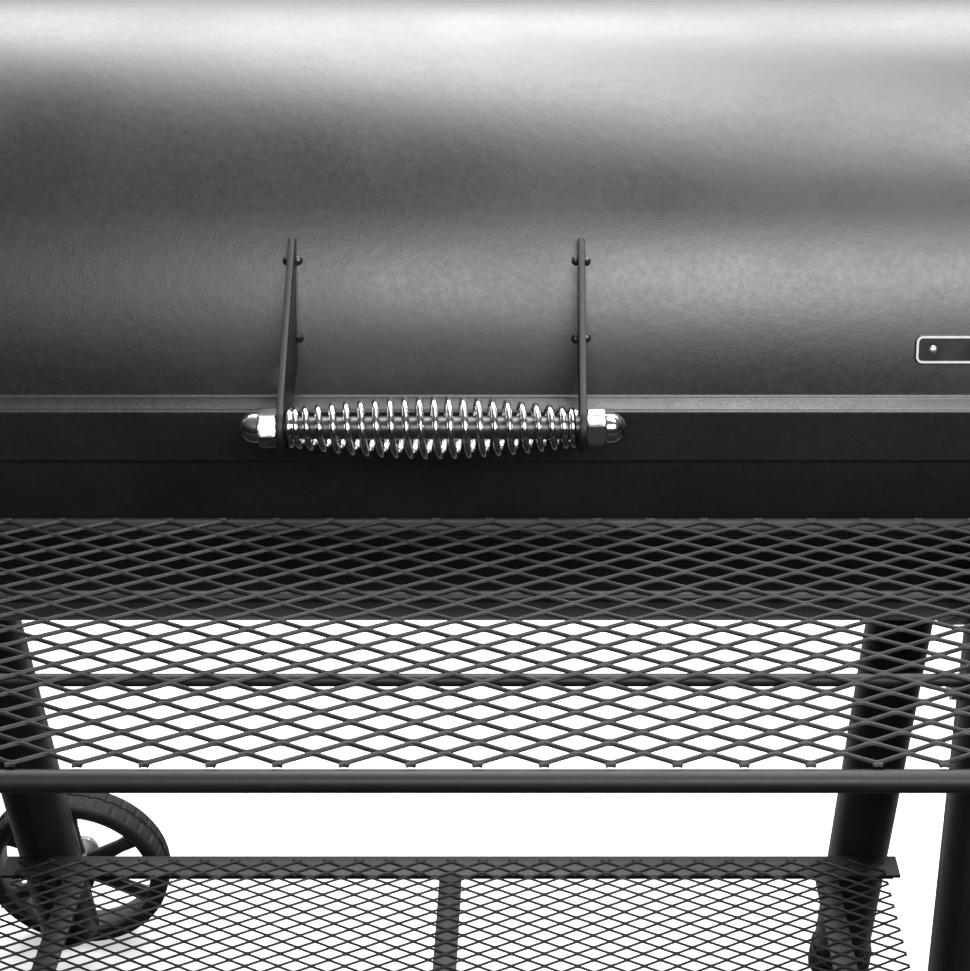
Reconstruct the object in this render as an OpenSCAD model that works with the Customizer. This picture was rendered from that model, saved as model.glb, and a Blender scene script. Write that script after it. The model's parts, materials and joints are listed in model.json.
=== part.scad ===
// Offset smoker: a horizontal cooking chamber with a lift-up lid, a lower side firebox,
// a chimney, a mesh front shelf and an A-frame stand on two feet and two wheels.
// +Z is up and the front faces -Y. The origin is on the floor under the middle of the outline.

/* [Cooking chamber] */
// Outer radius of the cooking chamber
chamber_r = 200; // [196:1:204]
// Length of the cooking chamber between its end plates
chamber_len = 900; // [880:10:940]
// Height of the chamber's axis above the floor
axis_h = 800; // [760:10:840]
// Sheet thickness of the shells
wall = 3; // [2:0.5:4]
// Thickness of the end plates
plate = 4; // [3:0.5:6]

/* [Lid] */
// Angle of the lid's front edge above the chamber's middle plane
lid_front_deg = 10; // [9:0.5:11]
// Angle of the lid's hinge above the chamber's middle plane
lid_hinge_deg = 30; // [26:1:34]
// How far the front lip stands out
lip_reach = 9; // [8:0.5:11]
// Height of the skirt under the front lip
skirt_h = 30; // [26:1:34]

/* [Handles] */
// Distance between the brackets of the lid's handle
handle_span = 152; // [140:2:170]
// Radius of the handle rods
rod_r = 6; // [5:0.5:6.5]
// Radius of the handle spring's wire
wire_r = 1.75; // [1.4:0.05:1.8]
// Turns of the lid's handle spring
lid_coils = 22; // [18:1:22]

/* [Firebox] */
// Length of the firebox
firebox_len = 380; // [360:10:420]
// How far the firebox's axis lies below the chamber's axis
firebox_drop = 160; // [150:5:170]

/* [Chimney] */
// Outer radius of the chimney pipe
pipe_r = 40; // [36:1:42]
// Height of the chimney's top above the chamber's axis
chimney_top = 560; // [480:10:600]

/* [Stand] */
// Distance between the two pairs of legs
leg_span = 754; // [740:2:770]
// Outer radius of the leg tubes
leg_r = 27; // [24:1:28]
// Lean of each leg from upright
leg_lean = 8; // [6:1:9]
// Outer radius of the wheels
wheel_r = 90; // [80:5:95]

/* [Front shelf] */
// Width of the front shelf
shelf_w = 800; // [780:10:860]
// Distance from the shelf's rear rail to its front rail
shelf_depth = 204; // [180:4:220]
// Distance from the chamber's axis to the shelf's rear rail
shelf_back = 244; // [236:2:250]
// Long pitch of the mesh openings
mesh_long = 56; // [48:4:64]
// Short pitch of the mesh openings
mesh_short = 28; // [24:2:32]

/* [Hidden] */
$fn = 96;

// Colours
paint = [0.11, 0.11, 0.11];
iron = [0.16, 0.16, 0.16];
bright = [0.78, 0.78, 0.80];
zinc = [0.60, 0.61, 0.63];
rubber = [0.07, 0.07, 0.07];
enamel = [0.90, 0.89, 0.85];
signal = [0.72, 0.10, 0.08];
clear = [0.80, 0.90, 0.95, 0.35];

// Fits and gaps
touch = 0.05;          // radial clearance of a running fit
gap = 0.5;             // gap between parts that move past each other
seam_deg = 0.5;        // angle left open between the lid's edges and the chamber
inner_r = chamber_r - wall;
half_len = chamber_len / 2;
end_r = chamber_r - 0.6;
bolt_r = 4;
bolt_hole_r = 4.2;
bolt_head_h = 5.5;
bolt_across = 13;

// Lid edges, lip and side bands
lid_front = 180 - lid_front_deg;
lip_t = 2;
lip_slope = 20;
band_t = 3;
band_inner_x = half_len - 12;
band_outer_x = half_len + 12;
lip_z = chamber_r * sin(lid_front_deg);
lip_front_y = -(chamber_r * cos(lid_front_deg) + lip_reach);

// Hinges
hinge_r = chamber_r + 14;
knuckle_r = 9;
hinge_pin_r = 4;
strap_t = 3.5;
hinge_w = 60;
lid_hinge_x = 300;
firebox_hinge_deg = 50;
firebox_hinge_x = 110;

// Handles
bracket_t = 3.5;
eye_r = 13;
grip_y = -(chamber_r + 47);
grip_z = 45;
nut_across = 18;
nut_hex_h = 9.7;
nut_h = 20;
nut_dome_r = 7.75;
coil_end_r = 8.55;
lid_coil_mid_r = 14.5;
firebox_handle_span = 100;
firebox_coils = 13;
firebox_coil_mid_r = 12.3;
firebox_handle_turn = 30;

// Badge and thermometer
badge_x = 301;
badge_deg = 162;
badge_size = [96, 16];
gauge_x = -320;
gauge_deg = 142;
gauge_r = 38;
dial_z = 9;
needle_z = 11;
lens_z = 13;

// Grates
ledge_z = -33;
grate_w = 293;
grate_depth = 370;
grate_t = 10;
grate_pitch_x = 296;
charcoal_z = -100;

// Drain and bucket
drain_x = -410;
drain_y = 28;
drain_r = 12;
bucket_y = 0;
bucket_r = 42;
bucket_h = 84;
bail_r = 47;
bail_wire_r = 2;
bail_top_z = -(chamber_r + 18);
bail_z = bail_top_z - bail_r;

// Chimney
port_z = 70;
bend_r = 70;
flange_r = 62;
flange_t = 5;
flange_bolt_r = 52;
pipe_t = 2.5;
chimney_stub = 6;
bend_x = -(half_len + plate + flange_t + chimney_stub);
chimney_x = bend_x - bend_r;
socket_h = 26;
cap_r = pipe_r + 4;
cap_bolt_y = pipe_r + 10;
cap_reach = 20;

// Firebox
firebox_x = half_len + 2 * plate;
fire_port_z = -100;
fire_port_r = 70;
joint_bolt_r = 88;
window_front = 141;
window_back = 54;
window_margin = 22;
firebox_lid_front = 145;
firebox_lid_back = 51;
firebox_lid_margin = 8;
firebox_lid_r = chamber_r + gap;
door_x = firebox_len + plate + gap;
door_w = 194;
door_h = 144;
door_z = -60;
door_window = [170, 120];
door_hinge_y = 112;
door_hinge_x = door_x + 8.5;
door_hinge_step = 50;
door_pin_r = 3;
door_knuckle_h = 12;
latch_y = -78;
latch_arm = 44;
latch_raise = 35;
vent_r = 42;
vent_hole_r = 11;
vent_hole_at = 26;
latch_grip_len = 28;

// Stand
leg_top_y = 120;
leg_top_z = -sqrt(chamber_r * chamber_r - leg_top_y * leg_top_y);
leg_t = 2.2;
leg_mid_x = -26;
wheel_leg_x = leg_mid_x - leg_span / 2;
foot_leg_x = leg_mid_x + leg_span / 2;
leg_pair_x = [wheel_leg_x, foot_leg_x];
leg_len = (axis_h + leg_top_z) / cos(leg_lean);
saddle_t = 3;
leg_bolt_drop = 50;
wheel_leg_cut = 55;
axle_block_h = wheel_r + 30;
foot_plug_h = 20;
foot_t = 4;
foot_h = 28;
foot_wall = 3;
axle_r = 8;
axle_z = wheel_r - axis_h;
hub_w = 40;
tyre_t = 12;
rim_w = 30;
function leg_y(z) = leg_top_y + (leg_top_z - z) * tan(leg_lean);
hub_in = leg_y(axle_z) + leg_r / cos(leg_lean) + 7;
hub_out = hub_in + hub_w;
axle_nut_h = 18;

// Shelves
rail_r = 5;
rod_small_r = 3;
shelf_top = -11;
mesh_t = 1.5;
strand_w = 3;
rail_bend = 20;
lower_z = 190 - axis_h;
angle_w = 25;
angle_t = 3;
lower_y = leg_y(lower_z) - leg_r / cos(leg_lean) - 0.3;
lower_len = leg_span + 2 * leg_r;
lower_bolt_z = lower_z - 14;

// Place of the chamber's axis, which puts the origin under the middle of the outline
outline_left = chimney_x - cap_r;
outline_right = firebox_x + door_x + plate + gap + latch_grip_len;
outline_front = -(shelf_back + shelf_depth + rail_r);
outline_back = hub_out + gap + axle_nut_h;
chamber_x = -(outline_left + outline_right) / 2;
axis_y = -(outline_front + outline_back) / 2;

// ---- Shared shapes ----

module at_chamber() translate([chamber_x, axis_y, axis_h]) children();

module at_firebox() at_chamber() translate([firebox_x, 0, -firebox_drop]) children();

// Extrudes a Y-Z outline along X, centred on X = 0
module along_x(length) rotate([90, 0, 90]) linear_extrude(height = length, center = true) children();

// Extrudes a Y-Z outline from one X to another
module from_x_to_x(x0, x1) translate([(x0 + x1) / 2, 0, 0]) along_x(x1 - x0) children();

function dir(deg) = [cos(deg), sin(deg)];

module wedge(a0, a1, reach)
  polygon(concat([[0, 0]], [for (i = [0:6]) reach * dir(a0 + (a1 - a0) * i / 6)]));

module arc_band(r0, r1, a0, a1)
  intersection() {
    difference() {
      circle(r = r1);
      circle(r = r0);
    }
    wedge(a0, a1, 2 * r1);
  }

// Puts +Z along the outward normal of a shell at an angle, on its surface
module on_shell(x, deg, r) translate([x, 0, 0]) rotate([deg - 90, 0, 0]) translate([0, 0, r]) children();

module rounded_rect(w, h, r)
  union() {
    square([w - 2 * r, h], center = true);
    square([w, h - 2 * r], center = true);
    for (x = [-1, 1], y = [-1, 1]) translate([x * (w / 2 - r), y * (h / 2 - r)]) circle(r = r);
  }

// A bolt along +Z with its head at the bottom and a nut ending at the given grip length
module hex_bolt(grip) {
  head_r = bolt_across / 2 / cos(30);
  translate([0, 0, -bolt_head_h]) cylinder(r = head_r, h = bolt_head_h, $fn = 6);
  translate([0, 0, -1]) cylinder(r = bolt_r, h = grip + bolt_head_h + 3);
  translate([0, 0, grip]) cylinder(r = head_r, h = bolt_head_h, $fn = 6);
}

// Outline of one hinge strap: side is 1 for the lid's half and -1 for the fixed half
module strap_outline(deg, surface_r, side)
  difference() {
    union() {
      translate(hinge_r * dir(deg)) circle(r = knuckle_r);
      arc_band(surface_r, surface_r + strap_t, deg + (side > 0 ? 2 : -18), deg + (side > 0 ? 18 : -2));
      polygon([
        hinge_r * dir(deg),
        (surface_r + 1) * dir(deg + 5 * side),
        (surface_r + 1) * dir(deg + 13 * side)
      ]);
    }
    translate(hinge_r * dir(deg)) circle(r = hinge_pin_r + touch);
  }

// Fixed halves of a hinge pair
module fixed_straps(deg, spread)
  for (x = [-spread, spread])
    translate([x, 0, 0]) along_x(hinge_w / 2 - 2 * gap) strap_outline(deg, chamber_r, -1);

// Lid halves of a hinge pair, one on each side of the fixed half
module moving_straps(deg, surface_r, spread)
  for (x = [-spread, spread], side = [-1, 1])
    translate([x + side * hinge_w * 3 / 8, 0, 0]) along_x(hinge_w / 4) strap_outline(deg, surface_r, 1);

module hinge_pin_pair(deg, spread)
  for (x = [-spread, spread]) {
    translate([x, hinge_r * cos(deg), hinge_r * sin(deg)]) rotate([0, 90, 0]) union() {
      cylinder(r = hinge_pin_r, h = hinge_w + 2, center = true);
      for (side = [-1, 1])
        translate([0, 0, side * (hinge_w / 2 + gap + 1.5)])
          cylinder(r = hinge_pin_r + 2, h = 3, center = true);
    }
  }

// Outline of a handle bracket whose foot follows a shell of the given radius
module bracket_outline(surface_r) {
  grip = [grip_y, grip_z];
  top = (surface_r + 6) * dir(145.5);
  root = (surface_r - 5) * dir(163);
  front = (top - grip) / norm(top - grip);
  under = (root - grip) / norm(root - grip);
  eye_edge = eye_r - 0.7;
  difference() {
    union() {
      translate(grip) circle(r = eye_r);
      polygon([
        (surface_r - 5) * dir(145), top, grip + eye_edge * [-front[1], front[0]],
        grip, grip + eye_edge * [under[1], -under[0]], root
      ]);
    }
    circle(r = surface_r);
    translate(grip) circle(r = rod_r + touch);
  }
}

module bracket_pair(span, surface_r)
  for (side = [-1, 1]) translate([side * span / 2, 0, 0]) along_x(bracket_t) bracket_outline(surface_r);

module at_grip() translate([0, grip_y, grip_z]) rotate([0, 90, 0]) children();

module grip_rod(span) at_grip() cylinder(r = rod_r, h = span + bracket_t + 2 * 12, center = true);

module cap_nut(across, hex_h, total_h, dome_r, bore_r)
  difference() {
    union() {
      cylinder(r = across / 2 / cos(30), h = hex_h, $fn = 6);
      cylinder(r = dome_r, h = total_h - dome_r);
      translate([0, 0, total_h - dome_r]) sphere(r = dome_r);
    }
    translate([0, 0, -total_h]) cylinder(r = bore_r, h = total_h + hex_h + 3);
  }

module grip_nuts(span)
  at_grip() for (side = [0, 1]) mirror([0, 0, side])
    translate([0, 0, (span + bracket_t) / 2])
      cap_nut(nut_across, nut_hex_h, nut_h, nut_dome_r, rod_r + touch);

// Barrel-shaped spring as a corrugated sleeve with one ridge for each turn, about the grip rod
module grip_spring(span, coils, mid_r) {
  half = (span - bracket_t) / 2 - wire_r - 0.5;
  function turn_z(i) = half * (2 * i / (coils - 1) - 1);
  function turn_r(i) = coil_end_r + (mid_r - coil_end_r) * cos(90 * turn_z(i) / half);
  at_grip() rotate_extrude() polygon(concat(
    [for (i = [0:coils - 1]) [turn_r(i) - wire_r, turn_z(i)]],
    [for (i = [coils - 1:-1:0], step = [1, 0.5, -0.5, -1])
      [turn_r(i) + (abs(step) < 1 ? wire_r : -wire_r / 5), turn_z(i) + step * wire_r]]
  ));
}

// Cast grate lying in the X-Y plane with its underside at Z = 0
module cast_grate(w, depth, bars, slot) {
  edge = 10;
  rib = 10;
  slot_len = (depth - 2 * edge - rib) / 2;
  pitch = (w - 2 * edge + (w - 2 * edge - bars * slot) / (bars - 1)) / bars;
  linear_extrude(height = grate_t) difference() {
    square([w, depth], center = true);
    for (i = [0:bars - 1], side = [-1, 1])
      translate([(i - (bars - 1) / 2) * pitch, side * (rib + slot_len) / 2])
        square([slot, slot_len], center = true);
  }
}

// Flat mesh sheet with diamond openings in offset rows
module mesh_sheet(w, depth) {
  apothem = mesh_long * mesh_short / 4 / norm([mesh_long / 2, mesh_short / 2]);
  open = (apothem - strand_w / 2) / apothem;
  rows = floor((depth - 8) / mesh_short) * 2 - 1;
  columns = floor((w - 8) / mesh_long);
  linear_extrude(height = mesh_t) difference() {
    square([w, depth], center = true);
    for (row = [0:rows - 1]) {
      shift = row % 2;
      for (column = [0:columns - 1 - shift])
        translate([
          (column - (columns - 1 - shift) / 2) * mesh_long,
          (row - (rows - 1) / 2) * mesh_short / 2
        ])
          polygon(open / 2 * [[mesh_long, 0], [0, mesh_short], [-mesh_long, 0], [0, -mesh_short]]);
    }
  }
}

// ---- Cooking chamber ----

module chamber_shell()
  color(paint) at_chamber() difference() {
    along_x(chamber_len)
      arc_band(inner_r, chamber_r, lid_front + seam_deg, 360 + lid_hinge_deg - seam_deg);
    translate([drain_x, drain_y, -chamber_r]) cylinder(r = drain_r - 3, h = 30, center = true);
  }

module chimney_bolt_holes(r)
  for (a = [45:90:315]) translate([flange_bolt_r * cos(a), flange_bolt_r * sin(a)]) circle(r = r);

module chamber_end_left()
  color(paint) at_chamber() from_x_to_x(-half_len - plate, -half_len) difference() {
    circle(r = end_r);
    translate([0, port_z]) {
      circle(r = pipe_r - pipe_t);
      chimney_bolt_holes(bolt_hole_r);
    }
  }

module fire_port_outline() {
  circle(r = fire_port_r);
  for (a = [0:60:300]) translate(joint_bolt_r * dir(a)) circle(r = bolt_hole_r);
}

module chamber_end_right()
  color(paint) at_chamber() from_x_to_x(half_len, half_len + plate) difference() {
    circle(r = end_r);
    translate([0, fire_port_z]) fire_port_outline();
  }

module ledge_outline(z, reach)
  intersection() {
    circle(r = inner_r);
    union() for (side = [-1, 1]) translate([side * (reach + 25), z - 2]) square([50, 4], center = true);
  }

module grate_ledges()
  color(paint) {
    at_chamber() along_x(chamber_len - 10) ledge_outline(ledge_z, 172);
    at_firebox() from_x_to_x(5, firebox_len - 5) ledge_outline(charcoal_z, 148);
  }

module chamber_hinge_straps() color(paint) at_chamber() fixed_straps(lid_hinge_deg, lid_hinge_x);

module hinge_pins()
  color(zinc) {
    at_chamber() hinge_pin_pair(lid_hinge_deg, lid_hinge_x);
    at_firebox() translate([firebox_len / 2, 0, 0]) hinge_pin_pair(firebox_hinge_deg, firebox_hinge_x);
  }

module drain_tube()
  color(paint) at_chamber() difference() {
    union() {
      translate([drain_x, drain_y, -chamber_r - 36]) cylinder(r = drain_r, h = 50);
      translate([drain_x - 1.5, bucket_y - 8, bail_top_z - 8]) cube([3, 16, 40]);
    }
    rotate([0, 90, 0]) cylinder(r = chamber_r, h = 2 * chamber_len, center = true);
    translate([drain_x, drain_y, -chamber_r - 40]) cylinder(r = drain_r - 3, h = 60);
    translate([drain_x, bucket_y, bail_top_z]) rotate([0, 90, 0])
      cylinder(r = bail_wire_r + gap, h = 10, center = true);
  }

// ---- Chimney ----

module chimney_elbow()
  color(paint) at_chamber() {
    difference() {
      union() {
        from_x_to_x(-half_len - plate - flange_t, -half_len - plate)
          translate([0, port_z]) circle(r = flange_r);
        from_x_to_x(bend_x, -half_len - plate - 1) translate([0, port_z]) circle(r = pipe_r);
        translate([bend_x, 0, port_z + bend_r]) rotate([90, 0, 0]) rotate([0, 0, 180])
          rotate_extrude(angle = 90) translate([bend_r, 0]) circle(r = pipe_r);
        translate([chimney_x, 0, port_z + bend_r]) cylinder(r = pipe_r + 3, h = socket_h);
      }
      from_x_to_x(bend_x, -half_len) translate([0, port_z]) circle(r = pipe_r - pipe_t);
      translate([bend_x, 0, port_z + bend_r]) rotate([90, 0, 0]) rotate([0, 0, 180])
        rotate_extrude(angle = 90) translate([bend_r, 0]) circle(r = pipe_r - pipe_t);
      translate([chimney_x, 0, port_z + bend_r]) cylinder(r = pipe_r - pipe_t, h = socket_h);
      translate([chimney_x, 0, port_z + bend_r + 2]) cylinder(r = pipe_r + touch, h = socket_h);
      from_x_to_x(-half_len - plate - flange_t - 1, -half_len) translate([0, port_z])
        chimney_bolt_holes(bolt_hole_r);
    }
  }

module chimney_pipe()
  color(paint) at_chamber() difference() {
    union() {
      translate([chimney_x, 0, port_z + bend_r + 2])
        cylinder(r = pipe_r, h = chimney_top - port_z - bend_r - 2);
      translate([chimney_x, cap_bolt_y, chimney_top - 30]) cylinder(r = 7, h = 30);
      translate([chimney_x - 4, pipe_r - 2, chimney_top - 30]) cube([8, 10, 30]);
    }
    translate([chimney_x, 0, port_z + bend_r]) cylinder(r = pipe_r - pipe_t, h = chimney_top);
    translate([chimney_x, cap_bolt_y, chimney_top - 40]) cylinder(r = bolt_r + touch, h = 60);
  }

module chimney_cap()
  color(paint) at_chamber() translate([chimney_x, 0, chimney_top + gap]) difference() {
    union() {
      cylinder(r = cap_r, h = 3);
      translate([0, cap_bolt_y, 0]) cylinder(r = 10, h = 3);
      translate([-10, cap_r - 10, 0]) cube([20, cap_bolt_y - cap_r + 10, 3]);
      translate([0, -cap_r - cap_reach / 2, 1.5]) rotate([90, 0, 0])
        cylinder(r = 3, h = cap_reach + 8, center = true);
      translate([0, -cap_r - cap_reach, 1.5]) sphere(r = 7);
    }
    translate([0, cap_bolt_y, -1]) cylinder(r = bolt_r + touch, h = 8);
  }

module chimney_cap_bolt()
  color(zinc) at_chamber() translate([chimney_x, cap_bolt_y, chimney_top]) {
    translate([0, 0, -36]) cylinder(r = bolt_r, h = 44);
    translate([0, 0, 4]) cylinder(r = bolt_across / 2 / cos(30), h = bolt_head_h, $fn = 6);
    translate([0, 0, -30 - bolt_head_h]) cylinder(r = bolt_across / 2 / cos(30), h = bolt_head_h, $fn = 6);
  }

// ---- Lid ----

module lid_shell()
  color(paint) at_chamber() difference() {
    along_x(chamber_len - 4) arc_band(inner_r, chamber_r, lid_hinge_deg, lid_front);
    on_shell(gauge_x, gauge_deg, chamber_r - 10) cylinder(r = 4.2, h = 20);
  }

// Flange that slopes down from the lid's edge, with a skirt below it
module lid_lip() {
  root = lip_reach + 10;
  rise = tan(lip_slope);
  brow_z = lip_z + lip_t - lip_reach * rise;
  under = lip_t / cos(lip_slope);
  color(paint) at_chamber() along_x(2 * band_outer_x) difference() {
    translate([lip_front_y, brow_z]) polygon([
      [0, 0], [root, root * rise], [root, root * rise - under],
      [lip_t, lip_t * rise - under], [lip_t, -skirt_h], [0, -skirt_h]
    ]);
    circle(r = chamber_r);
  }
}

module lid_side_bands()
  color(paint) at_chamber() for (side = [0, 1]) mirror([side, 0, 0])
    from_x_to_x(band_inner_x, band_outer_x)
      arc_band(chamber_r, chamber_r + band_t, lid_hinge_deg + 1, lid_front - 1.5);

module lid_hinge_straps() color(paint) at_chamber() moving_straps(lid_hinge_deg, chamber_r, lid_hinge_x);

module lid_handle_brackets() color(paint) at_chamber() bracket_pair(handle_span, chamber_r);

module lid_handle_rod() color(iron) at_chamber() grip_rod(handle_span);

module lid_handle_spring() color(bright) at_chamber() grip_spring(handle_span, lid_coils, lid_coil_mid_r);

module lid_handle_nuts() color(bright) at_chamber() grip_nuts(handle_span);

module badge_plate()
  color(zinc) at_chamber() intersection() {
    from_x_to_x(badge_x - 60, badge_x + 60) difference() {
      circle(r = chamber_r + 1.2);
      circle(r = chamber_r);
    }
    on_shell(badge_x, badge_deg, chamber_r - 10) linear_extrude(height = 20)
      rounded_rect(badge_size[0], badge_size[1], 4);
  }

module thermometer_case()
  color(bright) at_chamber() union() {
    difference() {
      on_shell(gauge_x, gauge_deg, chamber_r) difference() {
        translate([0, 0, -6]) cylinder(r = gauge_r, h = lens_z + 9);
        translate([0, 0, dial_z]) cylinder(r = gauge_r - 3, h = 20);
      }
      rotate([0, 90, 0]) cylinder(r = chamber_r, h = 2 * chamber_len, center = true);
    }
    on_shell(gauge_x, gauge_deg, chamber_r) {
      translate([0, 0, -60]) cylinder(r = 3.5, h = 64);
      translate([0, 0, -wall - 6.6]) cylinder(r = 9, h = 6, $fn = 6);
    }
  }

module thermometer_dial()
  color(enamel) at_chamber() on_shell(gauge_x, gauge_deg, chamber_r + dial_z) {
    cylinder(r = gauge_r - 3.1, h = 1);
    cylinder(r = 1.5, h = 3.4);
  }

module thermometer_needle()
  color(signal) at_chamber() on_shell(gauge_x, gauge_deg, chamber_r + needle_z) difference() {
    union() {
      cylinder(r = 4, h = 0.8);
      rotate([0, 0, -45]) translate([-1, -26, 0]) cube([2, 34, 0.8]);
    }
    translate([0, 0, -1]) cylinder(r = 1.5 + touch, h = 3);
  }

module thermometer_lens()
  color(clear) at_chamber() on_shell(gauge_x, gauge_deg, chamber_r + lens_z)
    cylinder(r = gauge_r - 3.1, h = 2);

// ---- Grates ----

module cooking_grate(index)
  color(iron) at_chamber() translate([index * grate_pitch_x, 0, ledge_z])
    cast_grate(grate_w, grate_depth, 14, 12);

module cooking_grate_left() cooking_grate(-1);

module cooking_grate_middle() cooking_grate(0);

module cooking_grate_right() cooking_grate(1);

module charcoal_grate()
  color(iron) at_firebox() translate([firebox_len / 2, 0, charcoal_z])
    cast_grate(firebox_len - 20, 320, 13, 15);

// ---- Grease bucket ----

module bucket_bail()
  color(zinc) at_chamber() translate([drain_x, bucket_y, bail_z]) {
    rotate([90, 0, 0]) rotate_extrude(angle = 180) translate([bail_r, 0]) circle(r = bail_wire_r);
    for (side = [-1, 1]) translate([side * (bail_r - 3), 0, 0]) rotate([0, 90, 0])
      cylinder(r = bail_wire_r, h = 8, center = true);
  }

module grease_bucket()
  color(zinc) at_chamber() translate([drain_x, bucket_y, bail_z]) {
    rim_z = -4;
    difference() {
      union() {
        rotate_extrude() polygon([
          [0, rim_z - bucket_h], [bucket_r - 8, rim_z - bucket_h], [bucket_r - 1.5, rim_z - 3],
          [bucket_r, rim_z - 3], [bucket_r, rim_z], [bucket_r - 3, rim_z],
          [bucket_r - 9.5, rim_z - bucket_h + 1.5], [0, rim_z - bucket_h + 1.5]
        ]);
        for (side = [-1, 1]) translate([side * (bucket_r - 1), 0, -1.5]) cube([2, 12, 15], center = true);
      }
      rotate([0, 90, 0]) cylinder(r = bail_wire_r + touch, h = 3 * bucket_r, center = true);
    }
  }

// ---- Firebox ----

module firebox_shell()
  color(paint) at_firebox() difference() {
    from_x_to_x(0, firebox_len) difference() {
      circle(r = chamber_r);
      circle(r = inner_r);
    }
    from_x_to_x(window_margin, firebox_len - window_margin)
      arc_band(inner_r - 20, chamber_r + 20, window_back, window_front);
  }

module firebox_inner_end()
  color(paint) at_firebox() from_x_to_x(-plate, 0) difference() {
    circle(r = end_r);
    translate([0, fire_port_z + firebox_drop]) fire_port_outline();
  }

module firebox_outer_end()
  color(paint) at_firebox() {
    from_x_to_x(firebox_len, firebox_len + plate) difference() {
      circle(r = end_r);
      translate([0, door_z]) square(door_window, center = true);
    }
    // Fixed knuckles of the door's hinge
    for (side = [-1, 1]) translate([0, 0, door_z + side * door_hinge_step - door_knuckle_h - gap / 2])
      difference() {
        union() {
          translate([door_hinge_x, door_hinge_y, 0]) cylinder(r = 7, h = door_knuckle_h);
          translate([firebox_len + plate - 1, door_hinge_y - 5, 0])
            cube([door_hinge_x - firebox_len - plate + 1, 10, door_knuckle_h]);
        }
        translate([door_hinge_x, door_hinge_y, -1]) cylinder(r = door_pin_r + touch, h = door_knuckle_h + 2);
      }
    // Keeper that the latch drops into
    translate([firebox_len + plate - 1, -126, door_z - 22]) cube([13.5, 12, 8]);
    translate([door_x + plate + 4.5, -126, door_z - 22]) cube([3, 12, 20]);
  }

module firebox_hinge_straps()
  color(paint) at_firebox() translate([firebox_len / 2, 0, 0])
    fixed_straps(firebox_hinge_deg, firebox_hinge_x);

module firebox_lid()
  color(paint) at_firebox() from_x_to_x(firebox_lid_margin, firebox_len - firebox_lid_margin)
    arc_band(firebox_lid_r, firebox_lid_r + wall, firebox_lid_back, firebox_lid_front);

module firebox_lid_straps()
  color(paint) at_firebox() translate([firebox_len / 2, 0, 0])
    moving_straps(firebox_hinge_deg, firebox_lid_r + wall, firebox_hinge_x);

module at_firebox_handle()
  at_firebox() translate([firebox_len / 2, 0, 0]) rotate([-firebox_handle_turn, 0, 0]) children();

module firebox_handle_brackets()
  color(paint) at_firebox_handle() bracket_pair(firebox_handle_span, firebox_lid_r + wall);

module firebox_handle_rod() color(iron) at_firebox_handle() grip_rod(firebox_handle_span);

module firebox_handle_spring()
  color(bright) at_firebox_handle() grip_spring(firebox_handle_span, firebox_coils, firebox_coil_mid_r);

module firebox_handle_nuts() color(bright) at_firebox_handle() grip_nuts(firebox_handle_span);

module vent_holes_outline() for (a = [0:90:270]) translate(vent_hole_at * dir(a)) circle(r = vent_hole_r);

// Shank and head of a rivet that carries a turning piece, along +X from the door's face
module door_rivet(r)
  rotate([0, 90, 0]) {
    cylinder(r = r, h = 5);
    translate([0, 0, 3.6]) cylinder(r = r + 3.5, h = 2);
  }

module firebox_door()
  color(paint) at_firebox() {
    difference() {
      translate([door_x, -door_w / 2, door_z - door_h / 2]) cube([plate, door_w, door_h]);
      from_x_to_x(door_x - 1, door_x + plate + 1) translate([0, door_z]) vent_holes_outline();
    }
    for (side = [-1, 1]) translate([0, 0, door_z + side * door_hinge_step + gap / 2])
      difference() {
        union() {
          translate([door_hinge_x, door_hinge_y, 0]) cylinder(r = 7, h = door_knuckle_h);
          translate([door_x + plate - 1, door_w / 2 - 14, 0])
            cube([door_hinge_x - door_x - plate + 3, door_hinge_y - door_w / 2 + 14, door_knuckle_h]);
        }
        translate([door_hinge_x, door_hinge_y, -1]) cylinder(r = door_pin_r + touch, h = door_knuckle_h + 2);
      }
    translate([door_x + plate - 1, 0, door_z]) door_rivet(5);
    translate([door_x + plate - 1, latch_y, door_z]) door_rivet(4);
  }

module door_hinge_pins()
  color(zinc) at_firebox() for (side = [-1, 1])
    translate([door_hinge_x, door_hinge_y, door_z + side * door_hinge_step]) {
      cylinder(r = door_pin_r, h = 2 * door_knuckle_h + 2, center = true);
      translate([0, 0, door_knuckle_h + 2 * gap]) cylinder(r = door_pin_r + 2, h = 2);
    }

module door_latch()
  color(iron) at_firebox() translate([door_x + plate + gap / 2, latch_y, door_z]) rotate([-latch_raise, 0, 0])
    difference() {
      union() {
        rotate([0, 90, 0]) cylinder(r = 9, h = 2);
        translate([0, -latch_arm, -6]) cube([2, latch_arm, 12]);
        translate([0, 0, -5]) cube([2, 20, 10]);
        translate([0, 20, 0]) rotate([0, 90, 0]) cylinder(r = 6, h = latch_grip_len);
      }
      translate([-1, 0, 0]) rotate([0, 90, 0]) cylinder(r = 4 + touch, h = 5);
    }

module door_vent()
  color(iron) at_firebox() translate([0, 0, door_z]) difference() {
    union() {
      from_x_to_x(door_x + plate + gap / 2, door_x + plate + 2.3) circle(r = vent_r);
      translate([door_x + plate + gap / 2, 0, vent_r - 8]) rotate([0, 90, 0]) cylinder(r = 3, h = 16);
    }
    from_x_to_x(door_x, door_x + plate + 30) {
      vent_holes_outline();
      circle(r = 5 + touch);
    }
  }

// ---- Fasteners ----

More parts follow.
